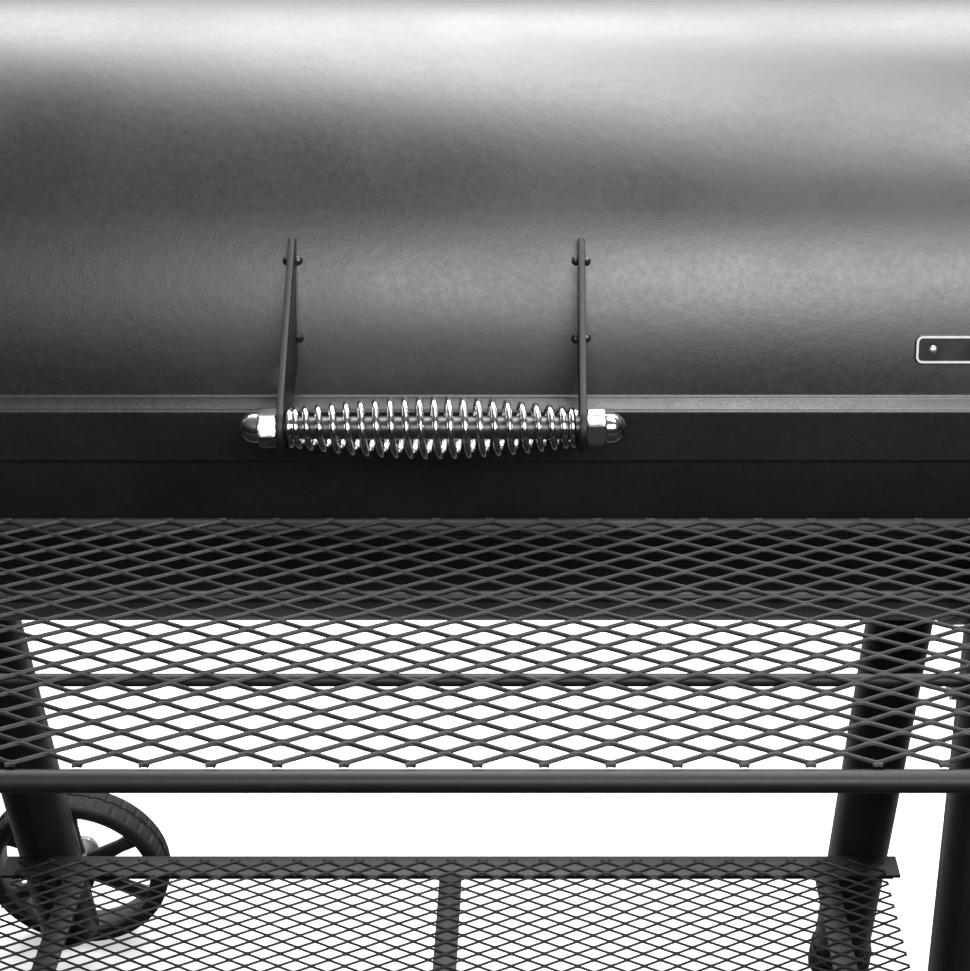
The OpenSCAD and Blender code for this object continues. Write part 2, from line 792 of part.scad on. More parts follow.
module hex_bolts()
  color(zinc) at_chamber() {
    // Cross bolts of the legs
    for (x = leg_pair_x, side = [-1, 1]) at_leg(x, side)
      translate([leg_r, 0, -leg_bolt_drop]) rotate([0, -90, 0]) hex_bolt(2 * leg_r);
    // Chimney flange
    for (a = [45:90:315]) translate([-half_len, flange_bolt_r * cos(a), port_z + flange_bolt_r * sin(a)])
      rotate([0, -90, 0]) hex_bolt(plate + flange_t);
    // Joint between the chamber and the firebox
    for (a = [0:60:300]) translate([half_len, joint_bolt_r * cos(a), fire_port_z + joint_bolt_r * sin(a)])
      rotate([0, 90, 0]) hex_bolt(2 * plate);
    // Lower shelf to the legs
    for (x = leg_pair_x, side = [0, 1]) mirror([0, side, 0]) translate([x, lower_y - angle_t, lower_bolt_z])
      rotate([-90, 0, 0]) hex_bolt(leg_y(lower_bolt_z) + leg_r / cos(leg_lean) - lower_y + angle_t + 1);
  }

// ---- Stand ----

// Local +Z runs up a leg and the origin is where its axis meets the chamber
module at_leg(x, side)
  translate([x, side * leg_top_y, leg_top_z]) rotate([side * leg_lean, 0, 0]) children();

// Curved saddle plates on the chamber, each with a stub that a leg slides over
module leg_sockets()
  color(paint) at_chamber() for (x = leg_pair_x, side = [-1, 1]) {
    from_x_to_x(x - 36, x + 36)
      arc_band(chamber_r, chamber_r + saddle_t, 270 + side * 37 - 13, 270 + side * 37 + 13);
    difference() {
      at_leg(x, side) difference() {
        translate([0, 0, -90]) cylinder(r = leg_r - leg_t - 0.1, h = 90);
        translate([0, 0, -91]) cylinder(r = leg_r - leg_t - 2.6, h = 92);
        translate([0, 0, -leg_bolt_drop]) rotate([0, 90, 0])
          cylinder(r = bolt_hole_r, h = 4 * leg_r, center = true);
      }
      rotate([0, 90, 0]) cylinder(r = chamber_r + saddle_t / 2, h = 2 * chamber_len, center = true);
    }
  }

// One leg tube coped to the saddle, cut level above the floor, and solid below a given height
module leg_tube(x, side, cut, solid_h)
  difference() {
    at_leg(x, side) difference() {
      translate([0, 0, -leg_len - 10]) cylinder(r = leg_r, h = leg_len + 20);
      translate([0, 0, solid_h - leg_len]) cylinder(r = leg_r - leg_t, h = leg_len + 50);
      translate([0, 0, -leg_bolt_drop]) rotate([0, 90, 0])
        cylinder(r = bolt_hole_r, h = 4 * leg_r, center = true);
    }
    rotate([0, 90, 0]) cylinder(r = chamber_r + saddle_t + 0.3, h = 2 * chamber_len, center = true);
    translate([x - 60, side * leg_y(-axis_h) - 60, -axis_h - 120 + cut]) cube([120, 120, 120]);
    translate([x, side * leg_y(lower_bolt_z), lower_bolt_z]) rotate([90, 0, 0])
      cylinder(r = bolt_hole_r, h = 4 * leg_r, center = true);
  }

module wheel_side_legs()
  color(paint) at_chamber() difference() {
    union() for (side = [-1, 1]) leg_tube(wheel_leg_x, side, wheel_leg_cut, axle_block_h);
    translate([wheel_leg_x, 0, axle_z]) rotate([90, 0, 0])
      cylinder(r = axle_r + touch, h = 4 * hub_out, center = true);
  }

module foot_side_legs()
  color(paint) at_chamber() for (side = [-1, 1]) leg_tube(foot_leg_x, side, foot_t, foot_plug_h);

module foot_caps()
  color(rubber) at_chamber() for (side = [-1, 1]) difference() {
    at_leg(foot_leg_x, side) translate([0, 0, -leg_len - 20])
      cylinder(r = leg_r + foot_wall, h = 20 + foot_h);
    difference() {
      at_leg(foot_leg_x, side) translate([0, 0, -leg_len - 20]) cylinder(r = leg_r + touch, h = 60 + foot_h);
      translate([foot_leg_x - 60, side * leg_y(-axis_h) - 60, -axis_h - 60 + foot_t]) cube([120, 120, 60]);
    }
    translate([foot_leg_x - 60, side * leg_y(-axis_h) - 60, -axis_h - 60]) cube([120, 120, 60]);
  }

module at_axle() at_chamber() translate([wheel_leg_x, 0, axle_z]) rotate([90, 0, 0]) children();

module axle()
  color(zinc) at_axle() {
    cylinder(r = axle_r, h = 2 * hub_out + 16, center = true);
    for (side = [0, 1]) mirror([0, 0, side]) translate([0, 0, hub_in - 4]) cylinder(r = 14, h = 4 - gap);
  }

module axle_nuts()
  color(bright) at_axle() for (side = [0, 1]) mirror([0, 0, side]) translate([0, 0, hub_out + gap])
    cap_nut(24, 10, axle_nut_h, 10, axle_r + touch);

module wheel(side)
  color(iron) at_axle() mirror([0, 0, side > 0 ? 1 : 0]) translate([0, 0, hub_in]) difference() {
    union() {
      cylinder(r = 20, h = hub_w);
      translate([0, 0, (hub_w - rim_w) / 2]) difference() {
        cylinder(r = wheel_r - tyre_t, h = rim_w);
        translate([0, 0, -1]) cylinder(r = wheel_r - tyre_t - 5, h = rim_w + 2);
      }
      for (a = [0:60:300]) rotate([0, 0, a]) translate([15, -7, hub_w / 2 - 4])
        cube([wheel_r - tyre_t - 18, 14, 8]);
    }
    translate([0, 0, -1]) cylinder(r = axle_r + touch, h = hub_w + 2);
  }

module tyre(side)
  color(rubber) at_axle() mirror([0, 0, side > 0 ? 1 : 0]) translate([0, 0, hub_in + hub_w / 2])
    rotate_extrude() difference() {
      translate([wheel_r - tyre_t, 0]) union() {
        translate([0, -rim_w / 2 - 2]) square([tyre_t - 4, rim_w + 4]);
        translate([0, -rim_w / 2 + 2]) square([tyre_t, rim_w - 4]);
        for (z = [-1, 1]) translate([tyre_t - 4, z * (rim_w / 2 - 2)]) circle(r = 4);
      }
      translate([0, -rim_w]) square([wheel_r - tyre_t, 2 * rim_w]);
    }

module wheel_front() wheel(-1);

module tyre_front() tyre(-1);

module wheel_rear() wheel(1);

module tyre_rear() tyre(1);

// ---- Shelves ----

module lower_shelf_frame()
  color(paint) at_chamber() {
    for (side = [0, 1]) mirror([0, side, 0]) difference() {
      translate([leg_mid_x, 0, 0]) along_x(lower_len) polygon([
        [lower_y, lower_z - angle_w], [lower_y, lower_z], [lower_y - angle_w, lower_z],
        [lower_y - angle_w, lower_z - angle_t], [lower_y - angle_t, lower_z - angle_t],
        [lower_y - angle_t, lower_z - angle_w]
      ]);
      for (x = leg_pair_x) translate([x, lower_y, lower_bolt_z]) rotate([90, 0, 0])
        cylinder(r = bolt_hole_r, h = 4 * angle_t, center = true);
    }
    for (x = [-1:1])
      translate([leg_mid_x + x * (leg_span / 2 - 40) - 10, -lower_y + angle_w + 0.3, lower_z - angle_t])
      cube([20, 2 * (lower_y - angle_w - 0.3), angle_t]);
  }

module lower_shelf_mesh()
  color(paint) at_chamber() translate([leg_mid_x, 0, lower_z]) mesh_sheet(lower_len - 4, 2 * lower_y - 4);

// Rail frame of rod with rounded corners, and two thinner rods across its length
module shelf_frame()
  color(paint) at_chamber() translate([0, -shelf_back - shelf_depth / 2, shelf_top - rail_r]) {
    half_w = shelf_w / 2 - rail_r;
    half_d = shelf_depth / 2;
    for (side = [-1, 1]) {
      translate([0, side * half_d, 0]) rotate([0, 90, 0])
        cylinder(r = rail_r, h = 2 * (half_w - rail_bend), center = true);
      translate([side * half_w, 0, 0]) rotate([90, 0, 0])
        cylinder(r = rail_r, h = 2 * (half_d - rail_bend), center = true);
      translate([0, side * shelf_depth / 6, rail_r - rod_small_r]) rotate([0, 90, 0])
        cylinder(r = rod_small_r, h = 2 * half_w, center = true);
    }
    for (x = [0, 1], y = [0, 1]) mirror([x, 0, 0]) mirror([0, y, 0])
      translate([half_w - rail_bend, half_d - rail_bend, 0])
        rotate_extrude(angle = 90) translate([rail_bend, 0]) circle(r = rail_r);
  }

module shelf_mesh()
  color(paint) at_chamber() translate([0, -shelf_back - shelf_depth / 2, shelf_top])
    mesh_sheet(shelf_w - 12, shelf_depth);

// Gussets welded to the chamber, which carry the shelf's rails
module shelf_brackets()
  color(paint) at_chamber() for (x = [-320, 320]) {
    from_x_to_x(x - 2, x + 2) difference() {
      polygon([
        [-chamber_r + 20, -95], [-chamber_r + 20, shelf_top - 2 * rail_r],
        [-shelf_back - shelf_depth + 10, shelf_top - 2 * rail_r],
        [-shelf_back - shelf_depth + 10, shelf_top - 2 * rail_r - 14], [-shelf_back, -95]
      ]);
      circle(r = chamber_r + 2);
    }
    from_x_to_x(x - 22, x + 22) arc_band(chamber_r, chamber_r + 3, 185.5, 209);
  }

chamber_shell();
chamber_end_left();
chamber_end_right();
grate_ledges();
chamber_hinge_straps();
hinge_pins();
drain_tube();
chimney_elbow();
chimney_pipe();
chimney_cap();
chimney_cap_bolt();
lid_shell();
lid_lip();
lid_side_bands();
lid_hinge_straps();
lid_handle_brackets();
lid_handle_rod();
lid_handle_spring();
lid_handle_nuts();
badge_plate();
thermometer_case();
thermometer_dial();
thermometer_needle();
thermometer_lens();
cooking_grate_left();
cooking_grate_middle();
cooking_grate_right();
bucket_bail();
grease_bucket();
firebox_shell();
firebox_inner_end();
firebox_outer_end();
firebox_hinge_straps();
firebox_lid();
firebox_lid_straps();
firebox_handle_brackets();
firebox_handle_rod();
firebox_handle_spring();
firebox_handle_nuts();
firebox_door();
door_hinge_pins();
door_latch();
door_vent();
charcoal_grate();
hex_bolts();
leg_sockets();
wheel_side_legs();
foot_side_legs();
foot_caps();
axle();
axle_nuts();
wheel_front();
tyre_front();
wheel_rear();
tyre_rear();
lower_shelf_frame();
lower_shelf_mesh();
shelf_frame();
shelf_mesh();
shelf_brackets();
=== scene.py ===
"""Looks of the offset smoker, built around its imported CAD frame. Lengths are in metres."""

import json
import math
import random

import bmesh
import bpy
from mathutils import Matrix, Vector, noise

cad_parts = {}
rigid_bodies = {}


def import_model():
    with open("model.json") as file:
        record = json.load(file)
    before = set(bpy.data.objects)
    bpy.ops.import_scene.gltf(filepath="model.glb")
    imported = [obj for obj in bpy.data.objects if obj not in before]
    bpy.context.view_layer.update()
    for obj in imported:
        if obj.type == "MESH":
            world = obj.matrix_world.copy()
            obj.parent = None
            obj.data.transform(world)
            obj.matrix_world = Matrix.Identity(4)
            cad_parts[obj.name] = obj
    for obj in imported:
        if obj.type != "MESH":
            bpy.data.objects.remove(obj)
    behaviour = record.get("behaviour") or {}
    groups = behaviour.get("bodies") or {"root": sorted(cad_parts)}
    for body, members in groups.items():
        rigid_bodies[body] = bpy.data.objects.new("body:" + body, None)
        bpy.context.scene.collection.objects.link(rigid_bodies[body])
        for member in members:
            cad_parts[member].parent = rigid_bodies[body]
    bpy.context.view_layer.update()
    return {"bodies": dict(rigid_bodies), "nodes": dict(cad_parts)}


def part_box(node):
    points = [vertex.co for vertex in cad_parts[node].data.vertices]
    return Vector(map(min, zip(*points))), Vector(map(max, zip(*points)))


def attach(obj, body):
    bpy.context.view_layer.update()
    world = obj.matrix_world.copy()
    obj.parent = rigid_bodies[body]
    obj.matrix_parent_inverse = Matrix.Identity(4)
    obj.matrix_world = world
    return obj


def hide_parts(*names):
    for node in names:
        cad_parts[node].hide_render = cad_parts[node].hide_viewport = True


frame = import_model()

MM = 0.001
TAU = 2 * math.pi
rng = random.Random(7)

# Places that follow from the frame: the chamber's axis, and the firebox's
CHAMBER_R = 0.2
shell_low, shell_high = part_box("chamber_shell")
AXIS = Vector(((shell_low.x + shell_high.x) / 2, (shell_low.y + shell_high.y) / 2, shell_low.z + CHAMBER_R))
fire_low, fire_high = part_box("firebox_shell")
FIRE = Vector((fire_low.x, AXIS.y, (fire_low.z + fire_high.z) / 2))


# ---- Materials ----

class Nodes:
    """A material's node tree with short calls for what the finishes share."""

    def __init__(self, name):
        self.mat = bpy.data.materials.new(name)
        self.mat.use_nodes = True
        self.tree = self.mat.node_tree
        self.shader = self.tree.nodes["Principled BSDF"]
        self.coords = self.add("ShaderNodeTexCoord").outputs["Object"]

    def add(self, kind, inputs=None, **props):
        node = self.tree.nodes.new(kind)
        for key, value in props.items():
            setattr(node, key, value)
        for key, value in (inputs or {}).items():
            if isinstance(value, bpy.types.NodeSocket):
                self.tree.links.new(value, node.inputs[key])
            else:
                node.inputs[key].default_value = value
        return node

    def noise(self, scale, detail=3.0, stretch=None, rough=0.55):
        where = self.coords
        if stretch:
            where = self.add("ShaderNodeMapping", {"Vector": where, "Scale": stretch}).outputs[0]
        return self.add(
            "ShaderNodeTexNoise",
            {"Vector": where, "Scale": scale, "Detail": detail, "Roughness": rough},
        ).outputs["Fac"]

    def cells(self, scale):
        return self.add("ShaderNodeTexVoronoi", {"Vector": self.coords, "Scale": scale}).outputs["Distance"]

    def span(self, value, low, high, to_low, to_high):
        return self.add(
            "ShaderNodeMapRange",
            {"Value": value, "From Min": low, "From Max": high, "To Min": to_low, "To Max": to_high},
        ).outputs["Result"]

    def ramp(self, value, stops):
        node = self.add("ShaderNodeValToRGB", {"Fac": value})
        stops_now = node.color_ramp.elements
        while len(stops_now) < len(stops):
            stops_now.new(0.5)
        for stop, (at, colour) in zip(stops_now, stops):
            stop.position = at
            stop.color = (*colour, 1)
        return node.outputs["Color"]

    def mix(self, factor, a, b):
        node = self.add("ShaderNodeMix", data_type="RGBA")
        for socket, value in ((node.inputs[0], factor), (node.inputs[6], a), (node.inputs[7], b)):
            if isinstance(value, bpy.types.NodeSocket):
                self.tree.links.new(value, socket)
            elif isinstance(value, tuple):
                socket.default_value = (*value, 1)
            else:
                socket.default_value = value
        return node.outputs[2]

    def math(self, operation, a, b):
        node = self.add("ShaderNodeMath", operation=operation)
        for socket, value in zip(node.inputs, (a, b)):
            if isinstance(value, bpy.types.NodeSocket):
                self.tree.links.new(value, socket)
            else:
                socket.default_value = value
        return node.outputs[0]

    def bump(self, layers):
        """Layers of (height socket, height in metres), added up as one bump chain."""
        normal = None
        for height, depth in layers:
            inputs = {"Height": height, "Distance": depth, "Strength": 1.0}
            if normal:
                inputs["Normal"] = normal
            normal = self.add("ShaderNodeBump", inputs).outputs["Normal"]
        return normal

    def finish(self, **values):
        names = {
            "base": "Base Color", "rough": "Roughness", "normal": "Normal", "metal": "Metallic",
            "specular": "Specular IOR Level", "coat": "Coat Weight", "coat_rough": "Coat Roughness",
            "ior": "IOR", "transmission": "Transmission Weight", "glow": "Emission Color",
            "glow_strength": "Emission Strength",
        }
        for key, value in values.items():
            socket = self.shader.inputs[names[key]]
            if isinstance(value, bpy.types.NodeSocket):
                self.tree.links.new(value, socket)
            else:
                socket.default_value = (*value, 1) if isinstance(value, tuple) else value
        return self.mat


def satin_paint(name, dark, light, rough, peel=0.00006, dust=0.35, specular=1.0):
    """Heat-resistant sprayed paint: fine grain, slight orange peel, soft mottling and dust."""
    n = Nodes(name)
    mottle = n.noise(9, 5, rough=0.6)
    grain = n.noise(900, 2)
    speck = n.noise(260, 3, rough=0.7)
    base = n.ramp(mottle, [(0.3, dark), (0.72, light)])
    dusty = n.span(speck, 0.62, 0.8, 0, dust)
    base = n.mix(dusty, base, tuple(c * 2.2 + 0.006 for c in light))
    cloudy = n.span(mottle, 0.25, 0.75, rough - 0.05, rough + 0.05)
    roughness = n.math("ADD", cloudy, n.span(speck, 0.3, 0.8, -0.03, 0.05))
    normal = n.bump([(n.noise(140, 3), peel * 1.5), (grain, peel * 0.8), (n.noise(3.5, 2), 0.0006)])
    return n.finish(base=base, rough=roughness, normal=normal, specular=specular)


def plated(name, colour, rough, blotch=40, spangle=0.0, scratch=0.00002):
    """Plated metal with cloudy roughness and fine scratches."""
    n = Nodes(name)
    cloud = n.noise(blotch, 4, rough=0.6)
    worn = tuple(c * 0.78 for c in colour)
    base = n.ramp(cloud, [(0.3, worn), (0.65, colour)])
    if spangle:
        base = n.mix(n.span(n.cells(spangle), 0, 0.6, 0.35, 0), base, tuple(c * 1.25 for c in colour))
    scratches = n.noise(35, 4, stretch=(1, 60, 60))
    wear = n.math("ADD", n.math("MULTIPLY", cloud, 0.6), n.math("MULTIPLY", scratches, 0.4))
    return n.finish(
        base=base, rough=n.span(wear, 0.3, 0.7, rough * 0.65, rough * 1.5), metal=1.0,
        normal=n.bump([(scratches, scratch), (n.noise(400, 2), scratch)]),
    )


def cast(name):
    """Sand-cast iron: coarse grain, pits and a trace of rust."""
    n = Nodes(name)
    big = n.noise(60, 5, rough=0.65)
    pits = n.cells(700)
    dark, grey, rusty = (0.018, 0.017, 0.016), (0.034, 0.031, 0.029), (0.055, 0.042, 0.032)
    base = n.ramp(big, [(0.3, dark), (0.55, grey), (0.8, rusty)])
    return n.finish(
        base=base, rough=n.span(big, 0.3, 0.7, 0.5, 0.78),
        normal=n.bump([(n.noise(420, 4, rough=0.7), 0.0003), (pits, 0.00012)]), specular=0.45,
    )


def rubber(name, dark, light, rough):
    """Moulded rubber with a dusty bloom."""
    n = Nodes(name)
    cloud = n.noise(45, 5, rough=0.62)
    base = n.ramp(cloud, [(0.32, dark), (0.7, light)])
    base = n.mix(n.span(n.noise(18, 4), 0.55, 0.75, 0, 0.35), base, tuple(c * 2.4 for c in light))
    return n.finish(
        base=base, rough=n.span(cloud, 0.3, 0.7, rough - 0.1, rough + 0.1),
        normal=n.bump([(n.noise(650, 3), 0.00008), (n.noise(90, 2), 0.0001)]), specular=0.35,
    )


def enamel(name, colour, shade, rough):
    """Printed or enamelled sheet under a thin clear coat."""
    n = Nodes(name)
    cloud = n.noise(70, 4)
    return n.finish(
        base=n.ramp(cloud, [(0.3, shade), (0.62, colour)]),
        rough=n.span(cloud, 0.3, 0.7, rough - 0.06, rough + 0.08),
        normal=n.bump([(n.noise(900, 2), 0.00002)]), coat=0.25, coat_rough=0.1,
    )


def glass(name):
    """Clear glass with faint smears."""
    n = Nodes(name)
    smear = n.noise(55, 4, rough=0.6)
    return n.finish(
        base=n.ramp(smear, [(0.3, (0.93, 0.97, 0.97)), (0.7, (1, 1, 1))]),
        rough=n.span(smear, 0.4, 0.75, 0.01, 0.07),
        transmission=1.0, ior=1.46, normal=n.bump([(n.noise(120, 2), 0.000008)]),
    )


SLOTS = {
    "black_paint": satin_paint(
        "black_paint_finish", (0.0085, 0.0078, 0.0073), (0.0135, 0.0122, 0.0115), 0.41
    ),
    "chrome": plated("chrome_finish", (0.90, 0.90, 0.91), 0.14),
    "zinc_plated_steel": plated(
        "zinc_finish", (0.60, 0.60, 0.61), 0.34, blotch=22, spangle=160, scratch=0.00005
    ),
    "cast_iron": cast("cast_iron_finish"),
    "dark_steel_rod": satin_paint(
        "dark_rod_finish", (0.014, 0.013, 0.012), (0.03, 0.027, 0.025), 0.36, dust=0.2
    ),
    "badge_metal": enamel("badge_finish", (0.022, 0.021, 0.020), (0.014, 0.013, 0.013), 0.3),
    "foot_rubber": rubber("foot_rubber_finish", (0.012, 0.012, 0.012), (0.026, 0.025, 0.024), 0.72),
    "tyre_rubber": rubber("tyre_rubber_finish", (0.014, 0.014, 0.014), (0.03, 0.029, 0.028), 0.78),
    "gauge_glass": glass("gauge_glass_finish"),
    "dial_face": enamel("dial_finish", (0.86, 0.85, 0.80), (0.76, 0.74, 0.68), 0.42),
    "needle_paint": enamel("needle_finish", (0.62, 0.035, 0.02), (0.48, 0.025, 0.015), 0.4),
    "wheel_paint": satin_paint(
        "wheel_finish", (0.028, 0.028, 0.029), (0.048, 0.048, 0.05), 0.38, dust=0.45
    ),
}


# ---- Mesh helpers ----

def slot_of(node):
    """The record's material slot of a CAD node."""
    return frame["nodes"][node].data.materials[0].name.split(".")[0]


def piece(name, verts, faces, body, slot, nodes=(), bend_deg=35.0, material=None):
    """A new mesh that rides on a body, takes a slot's finish, and may stand for CAD nodes."""
    mesh = bpy.data.meshes.new(name)
    mesh.from_pydata([tuple(v) for v in verts], [], [tuple(f) for f in faces])
    return settle(name, mesh, body, slot, nodes, bend_deg, material)


def settle(name, mesh, body, slot, nodes=(), bend_deg=35.0, material=None):
    """Shades a mesh smooth between its sharp bends, and hands it to the frame as a piece."""
    mesh.validate()
    mesh.update()
    mesh.shade_smooth()
    mesh.set_sharp_from_angle(angle=math.radians(bend_deg))
    mesh.materials.append(material or SLOTS[slot])
    obj = bpy.data.objects.new(name, mesh)
    bpy.context.scene.collection.objects.link(obj)
    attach(obj, body)
    if nodes:
        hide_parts(*nodes)
    return obj


class Shape:
    """Collects verts and faces of several parts of one piece."""

    def __init__(self):
        self.verts = []
        self.faces = []

    def add(self, verts, faces, matrix=None):
        base = len(self.verts)
        self.verts += [matrix @ Vector(v) if matrix else Vector(v) for v in verts]
        self.faces += [[base + i for i in f] for f in faces]
        return self

    def piece(self, name, body, slot, nodes=(), bend_deg=35.0, material=None):
        return piece(name, self.verts, self.faces, body, slot, nodes, bend_deg, material)


def rings(loops, closed=False):
    """Verts and faces of a skin over loops of equal length, capped unless its end joins its start."""
    count = len(loops[0])
    verts = [v for loop in loops for v in loop]
    faces = []
    for i in range(len(loops) - (0 if closed else 1)):
        a = i * count
        b = ((i + 1) % len(loops)) * count
        faces += [(a + j, a + (j + 1) % count, b + (j + 1) % count, b + j) for j in range(count)]
    if not closed:
        faces.append(tuple(range(count))[::-1])
        last = (len(loops) - 1) * count
        faces.append(tuple(range(last, last + count)))
    return verts, faces


def circle(r, z, steps):
    return [(r * math.cos(TAU * j / steps), r * math.sin(TAU * j / steps), z) for j in range(steps)]


def lathe(profile, steps=48, closed=False):
    """Skin of a profile of (radius, height) turned about +Z. Closed joins its end to its start."""
    return rings([circle(r, z, steps) for r, z in profile], closed=closed)


def arc(centre, r, degrees):
    """Points on an arc, at each of the given angles."""
    return [
        (centre[0] + r * math.cos(math.radians(d)), centre[1] + r * math.sin(math.radians(d)))
        for d in degrees
    ]


def soft_square(sides, power):
    """Points round a square of half-width 1 with rounded corners; a lower power is squarer."""
    angles = [TAU * (j + 0.5) / sides for j in range(sides)]
    return [
        (
            math.copysign(abs(math.cos(a)) ** power, math.cos(a)),
            math.copysign(abs(math.sin(a)) ** power, math.sin(a)),
        )
        for a in angles
    ]


def tube(path, radius, sides=12):
    """Round bar along a path of points, with turned frames so that it doesn't twist."""
    points = [Vector(p) for p in path]
    count = len(points)
    loops = []
    side = None
    for i, p in enumerate(points):
        way = (points[min(i + 1, count - 1)] - points[max(i - 1, 0)]).normalized()
        if side is None:
            side = way.orthogonal().normalized()
        side = (side - way * side.dot(way)).normalized()
        up = way.cross(side)
        r = radius(i) if callable(radius) else radius
        loops.append([
            p + r * (math.cos(TAU * j / sides) * side + math.sin(TAU * j / sides) * up)
            for j in range(sides)
        ])
    return rings(loops)


def turned(origin, z_axis, x_hint=(0, 0, 1)):
    """Matrix that puts local +Z along an axis at an origin."""
    z = Vector(z_axis).normalized()
    hint = Vector(x_hint)
    if abs(hint.normalized().dot(z)) > 0.99:
        hint = Vector((1, 0, 0))
    x = (hint - z * hint.dot(z)).normalized()
    return Matrix.Translation(origin) @ Matrix((x, z.cross(x), z)).transposed().to_4x4()


def eased(node, width, segments=2, bend_deg=35.0):
    """The CAD node's own shape with its sharp edges eased, as a piece that stands for it."""
    source = frame["nodes"][node]
    bm = bmesh.new()
    bm.from_mesh(source.data)
    bmesh.ops.remove_doubles(bm, verts=bm.verts, dist=2e-5)
    bmesh.ops.dissolve_limit(bm, angle_limit=math.radians(0.6), verts=bm.verts, edges=bm.edges)
    sharp = [
        e for e in bm.edges
        if len(e.link_faces) == 2 and e.calc_face_angle(0) > math.radians(bend_deg)
        and e.calc_length() > width * 0.4
    ]
    bmesh.ops.bevel(
        bm, geom=sharp, offset=width, offset_type="OFFSET", segments=segments, profile=0.5,
        affect="EDGES", clamp_overlap=True,
    )
    bmesh.ops.triangulate(bm, faces=[f for f in bm.faces if len(f.verts) > 4])
    for layer in list(bm.loops.layers.uv):
        bm.loops.layers.uv.remove(layer)
    mesh = bpy.data.meshes.new(node + "_eased")
    bm.to_mesh(mesh)
    bm.free()
    for attribute in [a.name for a in mesh.attributes if a.name == "custom_normal"]:
        mesh.attributes.remove(mesh.attributes[attribute])
    mesh.materials.clear()
    return settle(node + "_eased", mesh, frame_body(node), slot_of(node), [node], bend_deg)


def frame_body(node):
    """The name of the body that a CAD node rides on."""
    obj = frame["nodes"][node]
    while obj.parent and obj not in frame["bodies"].values():
        obj = obj.parent
    return next(name for name, body in frame["bodies"].items() if body == obj)


# ---- Camera, light and floor: they aren't part of the object ----

camera = bpy.data.objects.new("camera", bpy.data.cameras.new("camera"))
bpy.context.scene.collection.objects.link(camera)
camera.location = AXIS + Vector((54.3, -992.5, 440.5)) * MM
camera.rotation_euler = (math.radians(90 - 29.93), 0, 0)
camera.data.sensor_width = 36  # millimetres, as its lens is
camera.data.lens = 61.85
camera.data.shift_x = -0.0567
camera.data.clip_start = 0.02
bpy.context.scene.camera = camera
bpy.context.scene.view_settings.view_transform = "Standard"


def softbox(name, place, target, size, radiance, colour=(1, 1, 1)):
    """Rectangular area light of a given brightness, so that its size can change without its look."""
    light = bpy.data.lights.new(name, "AREA")
    light.shape = "RECTANGLE"
    light.size, light.size_y = size
    light.energy = radiance * math.pi * size[0] * size[1]
    light.color = colour
    obj = bpy.data.objects.new(name, light)
    obj.location = place
    obj.rotation_euler = (Vector(target) - Vector(place)).to_track_quat("-Z", "Y").to_euler()
    bpy.context.scene.collection.objects.link(obj)


softbox("key", AXIS + Vector((0.56, -2.1, 1.44)), AXIS, (1.9, 0.8), 12, (1.0, 0.985, 0.96))
softbox("overhead", AXIS + Vector((0.35, 0.3, 2.3)), AXIS, (2.6, 0.6), 13, (0.95, 0.98, 1.0))
softbox("backdrop", (0, 1.9, 2.6), (0, 0.9, 0), (3.4, 1.2), 9)

# The room round the object: pale behind, darker in front, with a plain pale backdrop for the camera
world = bpy.data.worlds.new("studio")
bpy.context.scene.world = world
world.use_nodes = True
room = world.node_tree
way = room.nodes.new("ShaderNodeSeparateXYZ")
room.links.new(room.nodes.new("ShaderNodeTexCoord").outputs["Generated"], way.inputs[0])


def room_span(value, low, high, to_low, to_high):
    node = room.nodes.new("ShaderNodeMapRange")
    node.interpolation_type = "SMOOTHSTEP"
    for socket, number in zip(list(node.inputs)[1:5], (low, high, to_low, to_high)):
        socket.default_value = number
    room.links.new(value, node.inputs[0])
    return node.outputs[0]


def room_math(operation, a, b):
    node = room.nodes.new("ShaderNodeMath")
    node.operation = operation
    room.links.new(a, node.inputs[0])
    room.links.new(b, node.inputs[1])
    return node.outputs[0]


behind = room_span(way.outputs["Y"], 0.0, 0.8, 0.010, 0.42)
above = room_span(way.outputs["Z"], 0.1, 1.0, 0.0, 0.15)
shown = room.nodes.new("ShaderNodeLightPath").outputs["Is Camera Ray"]
level = room_math("MAXIMUM", room_math("ADD", behind, above), shown)
room.links.new(level, room.nodes["Background"].inputs["Strength"])
room.nodes["Background"].inputs["Color"].default_value = (0.985, 0.99, 1.0, 1)

floor_nodes = Nodes("floor_finish")
floor_cloud = floor_nodes.noise(2.5, 3)
floor_nodes.finish(
    base=floor_nodes.ramp(floor_cloud, [(0.3, (0.88, 0.88, 0.88)), (0.7, (0.91, 0.91, 0.91))]),
    rough=floor_nodes.span(floor_cloud, 0.3, 0.7, 0.7, 0.85),
    normal=floor_nodes.bump([(floor_nodes.noise(300, 2), 0.00005)]),
    glow=(0.95, 0.96, 0.97), glow_strength=0.45,
)
REACH = 14
floor_mesh = bpy.data.meshes.new("floor")
floor_mesh.from_pydata(
    [(-REACH, -REACH, 0), (REACH, -REACH, 0), (REACH, REACH, 0), (-REACH, REACH, 0)], [], [(0, 1, 2, 3)]
)
floor_mesh.materials.append(floor_nodes.mat)
floor = bpy.data.objects.new("floor", floor_mesh)
bpy.context.scene.collection.objects.link(floor)
floor.visible_glossy = False
floor.visible_diffuse = False


# ---- CAD nodes that keep their shape ----

for cad_name, cad_object in frame["nodes"].items():
    finish_now = SLOTS[slot_of(cad_name)]
    for index in range(len(cad_object.data.materials)):
        cad_object.material_slots[index].link = "OBJECT"
        cad_object.material_slots[index].material = finish_now


# ---- Handles ----

